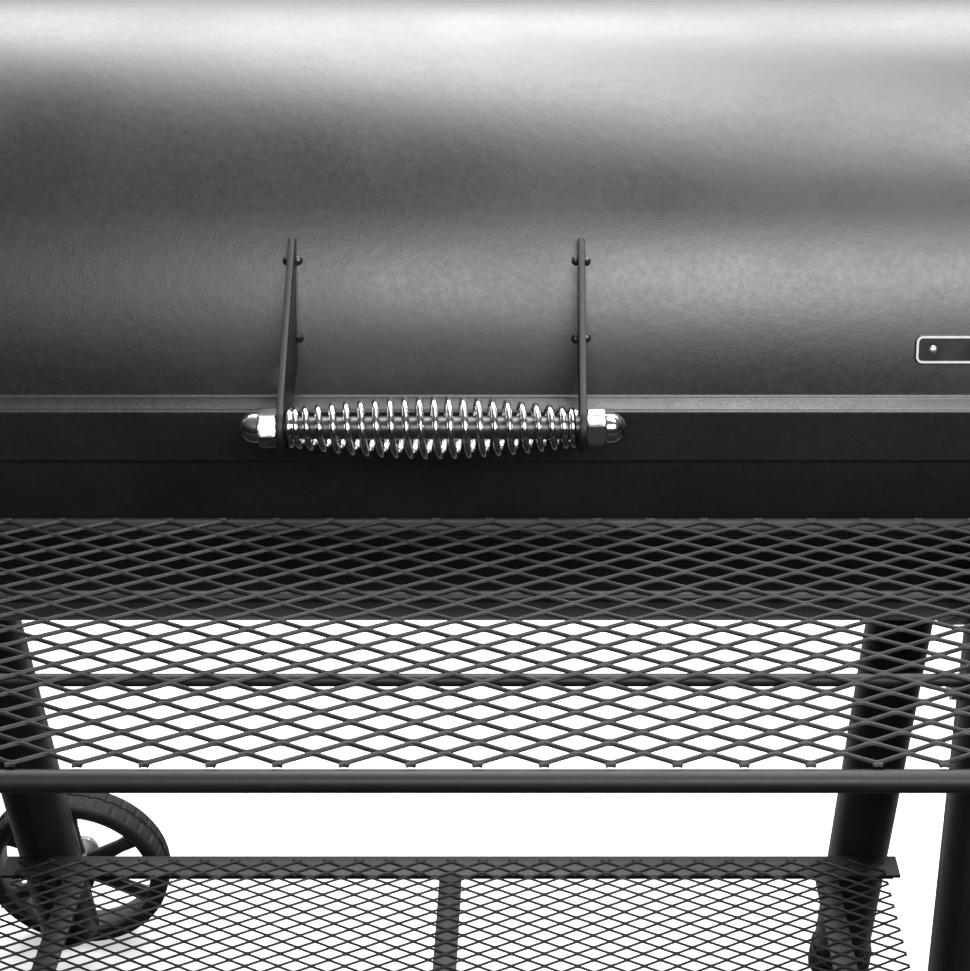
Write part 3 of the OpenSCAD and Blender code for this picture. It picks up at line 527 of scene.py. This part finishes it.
GRIP = Vector((0, -247, 45)) * MM  # the rod's middle, from a barrel's axis
BRACKET_T = 0.0035
FIRE_MID_X = 0.190
TURN = Matrix.Rotation(math.radians(-30), 4, "X")
NUT_ACROSS, NUT_HEX, NUT_LEN, NUT_DOME = 0.018, 0.0097, 0.0200, 0.00775
fire_middle = Matrix.Translation(FIRE + Vector((FIRE_MID_X, 0, 0)))
# Each handle's name, body, matrix from its barrel, span, number of coils, and the spring's middle radius
HANDLES = [
    ("lid", "lid", Matrix.Translation(AXIS), 0.152, 22, 0.0145),
    ("firebox", "firebox_lid", fire_middle @ TURN, 0.100, 13, 0.0123),
]


def coil(span, coils, middle, end=0.00855, wire=0.00178, steps=30):
    """Barrel-shaped spring about the X axis, with its end coils closed up."""
    half = (span - BRACKET_T) / 2 - wire - 0.0003
    path = []
    total = coils * steps
    for i in range(total + 1):
        u = 2 * i / total - 1
        x = half * (u - 0.11 * u * abs(u) ** 7) / 0.89
        r = end + (middle - end) * math.cos(math.pi / 2 * x / half)
        a = TAU * coils * i / total + 0.6
        path.append((x, r * math.cos(a), r * math.sin(a)))
    return tube(path, wire)


def cap_nut(across, hex_h, total_h, dome, steps=96):
    """Chamfered hexagon with a domed cap, along +Z from its seat."""
    apothem = across / 2
    loops = []
    chamfer = math.tan(math.radians(60))
    from_end = [0, 0.0003, 0.0007, 0.0012, 0.002]
    for z in from_end + [hex_h / 2] + [hex_h - h for h in from_end[::-1]]:
        ease = min(z, hex_h - z) * chamfer + apothem * 0.965
        loop = []
        for j in range(steps):
            a = TAU * j / steps
            flat = apothem / math.cos((a + math.pi / 6) % (math.pi / 3) - math.pi / 6)
            r = min(flat, ease, apothem * 1.145)
            loop.append((r * math.cos(a), r * math.sin(a), z))
        loops.append(loop)
    profile = [(dome + 0.0006, hex_h), (dome + 0.0001, hex_h + 0.0005), (dome, total_h - dome)]
    profile += arc((0, total_h - dome), dome, range(9, 90, 9))
    profile.append((dome * 0.02, total_h))
    return rings(loops + [circle(r, z, steps) for r, z in profile])


for label, body, place, span, coils, middle in HANDLES:
    at_grip = place @ Matrix.Translation(GRIP)
    Shape().add(*coil(span, coils, middle), at_grip).piece(
        label + "_handle_coil", body, "chrome", [label + "_handle_spring"]
    )
    nuts = Shape()
    for side, spin in ((-1, 0.0), (1, 30.0)):
        seat = Vector((side * (span + BRACKET_T) / 2, 0, 0))
        matrix = at_grip @ turned(seat, (side, 0, 0)) @ Matrix.Rotation(math.radians(spin), 4, "Z")
        nuts.add(*cap_nut(NUT_ACROSS, NUT_HEX, NUT_LEN, NUT_DOME), matrix)
    nuts.piece(label + "_handle_cap_nuts", body, "chrome", [label + "_handle_nuts"], bend_deg=22)


# ---- Expanded metal ----

MESH_LONG = 0.028
HALF_ROW = 0.204 / 29
FIRST_ROW = 0.62  # from the shelf's front edge to its first bonds, in rows
# A strand's path from one bond to the next: how far along, and how far across
STRAND_PATH = [
    (0.0, 0.0), (0.06, 0.012), (0.15, 0.085), (0.3, 0.27),
    (0.5, 0.5), (0.7, 0.73), (0.85, 0.915), (0.94, 0.988),
]


def expanded(low, high, first_row, sides=8, strand=0.0020, thick=0.0015):
    """Expanded metal between two corners: rows of zigzag strands that adjoin at their bonds.

    The rows start at first_row, the place in Y of one line of bonds, and the sheet's edges cut through them.
    """
    section = soft_square(sides, 0.5)
    lean = math.radians(30)
    shape = Shape()
    z = (low.z + high.z) / 2
    halves = int((high.x - low.x) / (MESH_LONG / 2))
    start = (low.x + high.x) / 2 - halves * MESH_LONG / 4
    row = -math.ceil((first_row - low.y) / HALF_ROW)
    while first_row + row * HALF_ROW < high.y:
        base = first_row + row * HALF_ROW + strand * 0.36
        rise = HALF_ROW - strand * 0.72
        points = []
        for i in range(halves):
            for u, s in STRAND_PATH:
                s = s if (i + row) % 2 == 0 else 1 - s
                points.append((start + (i + u) * MESH_LONG / 2, base + rise * s))
        runs = [[]]
        for x, y in points:
            if low.y <= y <= high.y:
                runs[-1].append((x, y))
            elif runs[-1]:
                runs.append([])
        for run in runs:
            if len(run) < 3:
                continue
            loops = []
            for i, (x, y) in enumerate(run):
                before = run[max(i - 1, 0)]
                after = run[min(i + 1, len(run) - 1)]
                way = Vector((after[0] - before[0], after[1] - before[1], 0)).normalized()
                across = Vector((-way.y, way.x, 0))
                flat = across * math.cos(lean) + Vector((0, 0, math.sin(lean)))
                up = way.cross(flat)
                loops.append([
                    Vector((x, y, z)) + flat * (c * strand / 2) + up * (s * thick / 2) for c, s in section
                ])
            shape.add(*rings(loops))
        row += 1
    return shape


wire_paint = satin_paint(
    "shelf_paint_finish", (0.0075, 0.0070, 0.0066), (0.0120, 0.0110, 0.0104), 0.5, specular=0.42
)
shelf_low, shelf_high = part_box("shelf_mesh")
bond_line = shelf_low.y + FIRST_ROW * HALF_ROW
expanded(shelf_low + Vector((0.002, 0.0024, 0)), shelf_high - Vector((0.002, 0.001, 0)), bond_line).piece(
    "shelf_expanded_metal", "stand", "black_paint", ["shelf_mesh"], bend_deg=40, material=wire_paint
)
lower_low, lower_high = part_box("lower_shelf_mesh")
margin = Vector((0.003, 0.003, 0))
expanded(lower_low + margin, lower_high - margin, lower_low.y + 0.006, sides=6).piece(
    "lower_expanded_metal", "stand", "black_paint", ["lower_shelf_mesh"], bend_deg=40, material=wire_paint
)


# ---- Eased copies of the plain metal parts ----

# Nodes by the width of their eased edges
EASED = {
    0.0004: ["hinge_pins", "door_hinge_pins", "chimney_cap_bolt", "door_latch"],
    0.0005: [
        "lid_handle_brackets", "firebox_handle_brackets", "lid_side_bands", "lid_hinge_straps",
        "chamber_hinge_straps", "firebox_hinge_straps", "firebox_lid_straps", "door_vent", "shelf_brackets",
        "hex_bolts", "lower_shelf_frame", "wheel_side_legs", "foot_side_legs",
    ],
    0.0008: [
        "chamber_end_left", "chamber_end_right", "firebox_inner_end", "firebox_outer_end", "firebox_door",
        "chimney_cap", "leg_sockets", "axle",
    ],
    0.0014: [
        "cooking_grate_left", "cooking_grate_middle", "cooking_grate_right", "charcoal_grate", "foot_caps",
    ],
}
for width, nodes in EASED.items():
    for node in nodes:
        eased(node, width)
# The shelves and brackets have the duller paint of the mesh
SHELF_PAINTED = [
    "shelf_frame", "shelf_brackets_eased", "lower_shelf_frame_eased", "lid_handle_brackets_eased",
    "firebox_handle_brackets_eased",
]
for name in SHELF_PAINTED:
    for painted in bpy.data.objects[name].material_slots:
        painted.material = wire_paint


# ---- Lid lip: one bent sheet ----

def filleted(corners, radii, steps=7):
    """Points of a bent line in a plane, with each inner corner rounded to its radius."""
    out = [Vector(corners[0])]
    for before, corner, after, radius in zip(corners, corners[1:], corners[2:], radii):
        corner = Vector(corner)
        a = (Vector(before) - corner).normalized()
        b = (Vector(after) - corner).normalized()
        half = a.angle(b) / 2
        reach = radius / math.tan(half)
        centre = corner + (a + b).normalized() * (radius / math.sin(half))
        start = corner + a * reach - centre
        end = corner + b * reach - centre
        for k in range(steps + 1):
            mix = start.lerp(end, k / steps)
            out.append(centre + mix.normalized() * radius)
    out.append(Vector(corners[-1]))
    return out


def bent_sheet(path, thick, x0, x1, segments=6):
    """Solid sheet along X whose outer face follows a Y-Z path, with its thickness to the path's right."""
    inner = []
    for i, p in enumerate(path):
        way = path[min(i + 1, len(path) - 1)] - path[max(i - 1, 0)]
        inner.append(p + Vector((-way.y, way.x)).normalized() * thick)
    loop = path + inner[::-1]
    places = [x0 + (x1 - x0) * k / segments for k in range(segments + 1)]
    return rings([[(x, p.x, p.y) for p in loop] for x in places])


lip_low, lip_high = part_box("lid_lip")
front = lip_low.y - AXIS.y
foot = lip_low.z - AXIS.z
LIP_SLOPE = math.tan(math.radians(20))
SKIRT_H = 0.030
LEAVE = math.radians(168.9)  # where the lip's sheet leaves the lid's curve
leave = Vector((CHAMBER_R * math.cos(LEAVE), CHAMBER_R * math.sin(LEAVE)))
down = Vector((-math.sin(LEAVE), math.cos(LEAVE)))
brow = foot + SKIRT_H
run = (leave.y - brow - LIP_SLOPE * (leave.x - front)) / (LIP_SLOPE * down.x - down.y)
root = leave + down * run
turn = down.angle(Vector((-1, -LIP_SLOPE)))
lip_path = filleted(
    [leave, root, Vector((front, brow)), Vector((front, foot))], [run * 0.98 / math.tan(turn / 2), 0.0026]
)
lip = bent_sheet(lip_path, 0.0019, lip_low.x - AXIS.x, lip_high.x - AXIS.x)
Shape().add(*lip, Matrix.Translation(AXIS)).piece(
    "lid_bent_lip", "lid", "black_paint", ["lid_lip"], bend_deg=40
)


# ---- Welds ----

def on_barrel(axis, x, degrees, radius):
    """A point round a barrel's axis, in degrees from +Y over +Z."""
    a = math.radians(degrees)
    return axis + Vector((x, radius * math.cos(a), radius * math.sin(a)))


def lump(shape, at, size, seed, stretch=(1, 1, 1)):
    """A small rough lump of weld metal."""
    bm = bmesh.new()
    bmesh.ops.create_icosphere(bm, subdivisions=2, radius=1)
    offset = Vector((seed * 3.7, seed * 1.9, seed * 0.7))
    verts = []
    for v in bm.verts:
        swell = 1 + 0.28 * noise.noise(v.co * 1.6 + offset)
        verts.append(at + v.co * Vector(stretch) * (size * swell))
    faces = [[v.index for v in f.verts] for f in bm.faces]
    bm.free()
    shape.add(verts, faces)


def bead(path, radius, ripple=0.0022):
    """Weld bead along a path, with the ripples of its run."""
    points = [Vector(p) for p in path]
    lengths = [0]
    for a, b in zip(points, points[1:]):
        lengths.append(lengths[-1] + (b - a).length)
    total = lengths[-1]
    dense = []
    count = max(int(total / (ripple / 3)), 4)
    k = 0
    for i in range(count + 1):
        d = total * i / count
        while k < len(lengths) - 2 and lengths[k + 1] < d:
            k += 1
        f = (d - lengths[k]) / max(lengths[k + 1] - lengths[k], 1e-9)
        dense.append(points[k].lerp(points[k + 1], min(f, 1)))

    def swelling(i):
        d = total * i / count
        wave = 0.5 + 0.5 * abs(math.sin(math.pi * d / ripple))
        return radius * (0.78 + 0.24 * wave + 0.12 * noise.noise(Vector((d * 120, radius * 900, 0))))

    return tube(dense, swelling, sides=8)


def arc_path(axis, x, start, end, radius, steps=60):
    return [on_barrel(axis, x, start + (end - start) * k / steps, radius) for k in range(steps + 1)]


seed = 1
# Name, body, barrel, middle in X, half span of the brackets, and the tacks' radius and angles
for name, body, axis, middle, half_span, radius, rows in (
    ("lid_tack_welds", "lid", AXIS, 0, 0.076, 0.2006, (148.6, 160.3)),
    ("firebox_tack_welds", "firebox_lid", FIRE, FIRE_MID_X, 0.050, 0.2041, (118.6, 130.3)),
):
    tacks = Shape()
    for side in (-1, 1):
        for face in (-1, 1):
            for degrees in rows:
                x = middle + side * half_span + face * 0.0026
                lump(tacks, on_barrel(axis, x, degrees, radius), 0.0023, seed, (1.15, 1.05, 1.15))
                seed += 1
    tacks.piece(name, body, "black_paint")

END_WELD_R = CHAMBER_R - 0.0002
FOOT_WELD_R = CHAMBER_R + 0.0005
seams = Shape()
for x in (-0.4495, 0.4495):
    seams.add(*bead(arc_path(AXIS, x, 171, 389, END_WELD_R), 0.0014))
for x in (0.0005, 0.3795):
    seams.add(*bead(arc_path(FIRE, x, 146, 409, END_WELD_R), 0.0014))
for leg_x in (-0.403, 0.351):
    for middle in (233, 307):
        for x in (leg_x - 0.036, leg_x + 0.036):
            seams.add(*bead(arc_path(AXIS, x, middle - 12, middle + 12, FOOT_WELD_R, 12), 0.0016))
for x in (-0.342, -0.298, 0.298, 0.342):
    seams.add(*bead(arc_path(AXIS, x, 187, 208, FOOT_WELD_R, 12), 0.0015))
elbow = AXIS + Vector((-0.4596, 0, 0.070))
elbow_ring = [elbow + Vector((0, y, z)) for y, z in arc((0, 0), 0.0405, [360 * k / 48 for k in range(49)])]
seams.add(*bead(elbow_ring, 0.0019))
seams.piece("stand_weld_seams", "stand", "black_paint")
lid_seams = Shape()
for x in (-0.438, 0.438):
    lid_seams.add(*bead(arc_path(AXIS, x, 33, 167, CHAMBER_R + 0.0004), 0.0011))
lid_seams.piece("lid_weld_seams", "lid", "black_paint")

# Weld spots where the shelf's mesh lies on its rails and rods
spots = Shape()
spot_z = shelf_low.z + 0.0002
for index, y in enumerate((-0.244, -0.312, -0.380)):
    row = round((AXIS.y + y - bond_line) / HALF_ROW)
    spot_y = min(bond_line + row * HALF_ROW, AXIS.y + y + 0.002)
    halves = int((shelf_high.x - shelf_low.x - 0.004) / (MESH_LONG / 2))
    start = (shelf_low.x + shelf_high.x) / 2 - halves * MESH_LONG / 4
    for i in range(1, halves):
        if (i + row) % 2:
            continue
        size = 0.0013 + 0.0004 * rng.random()
        lump(spots, Vector((start + i * MESH_LONG / 2, spot_y, spot_z)), size, i + 40 * index, (1.4, 1, 0.7))
spots.piece("shelf_weld_spots", "stand", "black_paint")


# ---- Blank badge plate with a pale rim ----

badge_low, badge_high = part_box("badge_plate")
badge_mid = (badge_low + badge_high) / 2
badge_turn = math.atan2(badge_mid.z - AXIS.z, AXIS.y - badge_mid.y)


def rounded_outline(w, h, r):
    """Points round a rectangle with rounded corners."""
    points = []
    for start, (side_x, side_y) in zip(range(0, 360, 90), ((1, 1), (-1, 1), (-1, -1), (1, -1))):
        centre = (side_x * (w / 2 - r), side_y * (h / 2 - r))
        points += arc(centre, r, range(start, start + 91, 9))
    return points


def wrapped(x, across, height):
    """A point on the lid's front: along X, across the plate, and above the lid's surface."""
    a = math.pi - badge_turn - across / CHAMBER_R
    r = CHAMBER_R + height
    return AXIS + Vector((x, r * math.cos(a), r * math.sin(a)))


badge_x = badge_mid.x - AXIS.x
badge_w = badge_high.x - badge_low.x
badge_h = math.hypot(badge_high.y - badge_low.y, badge_high.z - badge_low.z) - 0.0012
BADGE_CORNER = 0.004


def plate_loop(inset, height):
    """The badge's outline, smaller by an inset, at a height above the lid."""
    outline = rounded_outline(badge_w - inset, badge_h - inset, BADGE_CORNER - inset / 2)
    return [wrapped(badge_x + x, -y, height) for x, y in outline]


face_loops = [plate_loop(0, 0), plate_loop(0, 0.0007), plate_loop(0.0006, 0.0010)]
Shape().add(*rings(face_loops)).piece("badge_face", "lid", "badge_metal", ["badge_plate"])
rim_loops = [
    plate_loop(inset, height)
    for inset, height in ((0.0010, 0.0009), (0.0012, 0.0013), (0.0034, 0.0013), (0.0036, 0.0009))
]
rim = Nodes("badge_rim_finish")
rim_cloud = rim.noise(120, 3)
rim.finish(
    base=rim.ramp(rim_cloud, [(0.3, (0.70, 0.70, 0.69)), (0.7, (0.80, 0.80, 0.79))]),
    rough=rim.span(rim_cloud, 0.3, 0.7, 0.28, 0.42), normal=rim.bump([(rim.noise(700, 2), 0.00002)]),
)
Shape().add(*rings(rim_loops, closed=True)).piece("badge_rim", "lid", "badge_metal", material=rim.mat)
rivets = Shape()
rivet_head = [(0.0024, 0), (0.0024, 0.0002), (0.0021, 0.0006), (0.0014, 0.0009), (0.0004, 0.00105)]
for x in (-0.0385, 0.0385):
    at = wrapped(badge_x + x, 0, 0.0008)
    rivets.add(*lathe(rivet_head, 20), turned(at, at - AXIS - Vector((at.x - AXIS.x, 0, 0))))
rivets.piece("badge_rivets", "lid", "badge_metal", material=SLOTS["zinc_plated_steel"])


# ---- Wheels ----

RIM_R = 0.078
TYRE_R = 0.0900


def wheel_parts(side):
    """Rim, hub and six spokes of a wheel about +Z, centred on its width; side is its outer face."""
    shape = Shape()
    half = 0.015
    rim = [
        (RIM_R, -half), (RIM_R, half), (RIM_R - 0.0012, half + 0.0004), (RIM_R - 0.004, half - 0.0004),
        (RIM_R - 0.005, half - 0.003), (RIM_R - 0.0052, -half + 0.003), (RIM_R - 0.004, -half + 0.0004),
        (RIM_R - 0.0012, -half - 0.0004),
    ]
    shape.add(*lathe(rim, 96, closed=True))
    hub = [
        (0.0082, -0.0200), (0.0190, -0.0200), (0.0200, -0.0190), (0.0200, 0.0140), (0.0186, 0.0150),
        (0.0182, 0.0188), (0.0170, 0.0200), (0.0082, 0.0200),
    ]
    shape.add(*lathe([(r, side * z) for r, z in hub], 64, closed=True))
    # A spoke's half width and half depth at parts of its way out from the hub
    spoke = (
        (0, 0.0095, 0.0046), (0.25, 0.0078, 0.0042), (0.6, 0.0066, 0.0040), (0.88, 0.0078, 0.0042),
        (1, 0.0100, 0.0046),
    )
    spoke_in, spoke_out = 0.0188, 0.0738
    section = soft_square(20, 0.6)
    for k in range(6):
        loops = [
            [(spoke_in + (spoke_out - spoke_in) * f, width * c, depth * s) for c, s in section]
            for f, width, depth in spoke
        ]
        shape.add(*rings(loops), Matrix.Rotation(TAU * k / 6, 4, "Z"))
    return shape


def tyre_parts():
    """Solid tyre about +Z with rounded shoulders and a block tread."""
    half, shoulder, groove = 0.0170, 0.0048, 0.0014
    blocks, steps = 36, 288
    outline = [(RIM_R, -half + 0.001), (RIM_R + 0.0015, -half), (0.0836, -half)]
    outline += arc((0.0840, shoulder - half), shoulder, range(-75, 0, 15))
    outline += [
        (TYRE_R - 0.0004, -0.0108), (TYRE_R, -0.0092), (TYRE_R, -0.0024), (TYRE_R - groove, -0.0018),
        (TYRE_R - groove, 0),
    ]
    outline += [(r, -z) for r, z in outline[-2::-1]]
    loops = []
    for r, z in outline:
        loop = []
        for j in range(steps):
            a = TAU * j / steps
            phase = (j * blocks / steps + (0.5 if z > 0 else 0)) % 1
            cut = groove if phase < 0.17 and r > 0.0885 and abs(z) > 0.001 else 0
            loop.append(((r - cut) * math.cos(a), (r - cut) * math.sin(a), z))
        loops.append(loop)
    return rings(loops, closed=True)


nuts = Shape()
for which, side in (("front", -1), ("rear", 1)):
    low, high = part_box("tyre_" + which)
    middle = (low + high) / 2
    at_wheel = turned(middle, (0, 1, 0))
    wheel, tyre = "wheel_" + which, "tyre_" + which
    bare = wheel_parts(side)
    Shape().add(bare.verts, bare.faces, at_wheel).piece(wheel + "_spoked", wheel, "wheel_paint", [wheel])
    Shape().add(*tyre_parts(), at_wheel).piece(tyre + "_treaded", wheel, "tyre_rubber", [tyre])
    seat = middle + Vector((0, side * 0.0205, 0))
    nuts.add(*cap_nut(0.024, 0.010, 0.018, 0.010), turned(seat, (0, side, 0)))
nuts.piece("axle_cap_nuts", "stand", "chrome", ["axle_nuts"], bend_deg=22)


# ---- Thermometer: local +Z points out of the lid, and +Y up its slope ----

GAUGE_TURN = math.radians(142)
gauge_way = Vector((0, math.cos(GAUGE_TURN), math.sin(GAUGE_TURN)))
gauge_at = AXIS + Vector((-0.320, 0, 0)) + gauge_way * CHAMBER_R
gauge = turned(gauge_at, gauge_way, (1, 0, 0))
bezel = [
    (0.0349, 0.0090), (0.0349, 0.0150), (0.0352, 0.0157), (0.0360, 0.0160), (0.0370, 0.0158),
    (0.0378, 0.0150), (0.0380, 0.0138), (0.0380, 0.0042), (0.0372, 0.0032), (0.0360, 0.0028),
    (0.0360, -0.0052), (0.0349, -0.0052),
]
stem = [
    (0.0001, -0.0600), (0.0030, -0.0600), (0.0035, -0.0592), (0.0035, -0.0100), (0.0090, -0.0096),
    (0.0090, -0.0038), (0.0035, -0.0034), (0.0035, 0.0085), (0.0001, 0.0085),
]
Shape().add(*lathe(bezel, 96, closed=True), gauge).add(*lathe(stem, 24), gauge).piece(
    "thermometer_bezel", "lid", "chrome", ["thermometer_case"]
)
lens = [
    (0.0002, 0.0152), (0.0080, 0.01515), (0.0180, 0.0149), (0.0270, 0.0143), (0.0330, 0.0136),
    (0.0347, 0.0132), (0.0347, 0.0130), (0.0330, 0.0130), (0.0002, 0.0131),
]
Shape().add(*lathe(lens, 96), gauge).piece("thermometer_window", "lid", "gauge_glass", ["thermometer_lens"])
ink = enamel("dial_ink_finish", (0.022, 0.022, 0.024), (0.014, 0.014, 0.015), 0.45)
zone = enamel("dial_zone_finish", (0.20, 0.34, 0.10), (0.15, 0.27, 0.08), 0.45)
DIAL_TOP = 0.01004
TICK_R = 0.0325
FIGURE_R = 0.0225
# Length and width of a long, a middle and a short mark
LONG_TICK, MIDDLE_TICK, SHORT_TICK = (0.0052, 0.0009), (0.0038, 0.0006), (0.0024, 0.00035)


def dial_angle(part):
    """Angle of a reading, as a part of the dial's full sweep."""
    return math.radians(225 - 270 * part)


def dial_mark(shape, part, length, width, height=0.0002):
    """One printed mark, from the dial's outer edge inwards."""
    a = dial_angle(part)
    out = Vector((math.cos(a), math.sin(a), 0))
    across = Vector((-out.y, out.x, 0))
    base = out * (TICK_R - length / 2) + Vector((0, 0, DIAL_TOP))
    corners = [
        base + out * (length * u) + across * (width * v)
        for u, v in ((-0.5, -0.5), (0.5, -0.5), (0.5, 0.5), (-0.5, 0.5))
    ]
    loops = [[c + Vector((0, 0, h)) for c in corners] for h in (0, height)]
    shape.add(*rings(loops), gauge)


marks = Shape()
for k in range(51):
    dial_mark(marks, k / 50, *(LONG_TICK if k % 10 == 0 else MIDDLE_TICK if k % 5 == 0 else SHORT_TICK))
for k, label in enumerate(("0", "60", "120", "180", "240", "300")):
    curve = bpy.data.curves.new("figure_" + label, "FONT")
    curve.body = label
    curve.size = 0.0064
    curve.extrude = 0.0001
    curve.align_x = "CENTER"
    curve.align_y = "CENTER"
    figure = bpy.data.objects.new("figure_" + label, curve)
    bpy.context.scene.collection.objects.link(figure)
    bpy.context.view_layer.update()
    flat = bpy.data.meshes.new_from_object(figure.evaluated_get(bpy.context.evaluated_depsgraph_get()))
    a = dial_angle(k / 5)
    place = Matrix.Translation(Vector((FIGURE_R * math.cos(a), FIGURE_R * math.sin(a), DIAL_TOP + 0.00012)))
    marks.add([place @ v.co for v in flat.vertices], [list(p.vertices) for p in flat.polygons], gauge)
    bpy.data.objects.remove(figure)
marks.piece("thermometer_marks", "lid", "dial_face", material=ink)
# The smoking range: a thin band on the dial, by its inner and outer radius
ZONE_IN, ZONE_OUT, ZONE_H = 0.0260, 0.0275, 0.00015
loops = []
for k in range(41):
    a = dial_angle(0.30 + 0.20 * k / 40)
    loops.append([
        (r * math.cos(a), r * math.sin(a), DIAL_TOP + h)
        for r, h in ((ZONE_IN, 0), (ZONE_OUT, 0), (ZONE_OUT, ZONE_H), (ZONE_IN, ZONE_H))
    ])
Shape().add(*rings(loops), gauge).piece("thermometer_zone", "lid", "dial_face", material=zone)
eased("thermometer_needle", 0.0002, 1)


# ---- Grease bucket ----

bucket_low, bucket_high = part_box("grease_bucket")
pail = Vector(((bucket_low.x + bucket_high.x) / 2, (bucket_low.y + bucket_high.y) / 2, bucket_low.z))
FOOT_R, WALL_TOP_R, WALL_H = 0.0345, 0.0400, 0.0790
RIBS = (3, 9)
wall = [(0.0002, 0.0012), (0.0322, 0.0012), (0.0330, 0.0000), (0.0342, 0.0002), (FOOT_R, 0.0016)]
for k in range(1, 12):
    rib = 0.0004 if k in RIBS else 0
    wall.append((FOOT_R + (WALL_TOP_R - FOOT_R) * k / 12 + rib, 0.0016 + WALL_H * k / 12))
wall += arc((0.0402, 0.0822), 0.0016, range(-60, 211, 30))
wall += [(0.0388, 0.0790), (0.0335, 0.0030), (0.0320, 0.0022), (0.0002, 0.0022)]
pail_shape = Shape().add(*lathe(wall, 72), Matrix.Translation(pail))
ear_ring = [(0.0024, -0.0007), (0.0054, -0.0009), (0.0058, 0), (0.0054, 0.0009), (0.0024, 0.0007)]
for side in (-1, 1):
    ear_at = Vector((pail.x + side * 0.0411, pail.y, bucket_high.z - 0.006))
    pail_shape.add(*lathe(ear_ring, 28, closed=True), turned(ear_at, (side, 0, 0)))
    tab_x = pail.x + side * 0.0414
    pail_shape.add(*rings([
        [
            (tab_x + x, pail.y + y, z)
            for x, y in ((-0.0008, -0.0045), (0.0008, -0.0045), (0.0008, 0.0045), (-0.0008, 0.0045))
        ]
        for z in (bucket_low.z + 0.0795, bucket_high.z - 0.0086)
    ]))
pail_shape.piece("grease_pail", "bucket", "zinc_plated_steel", ["grease_bucket"])
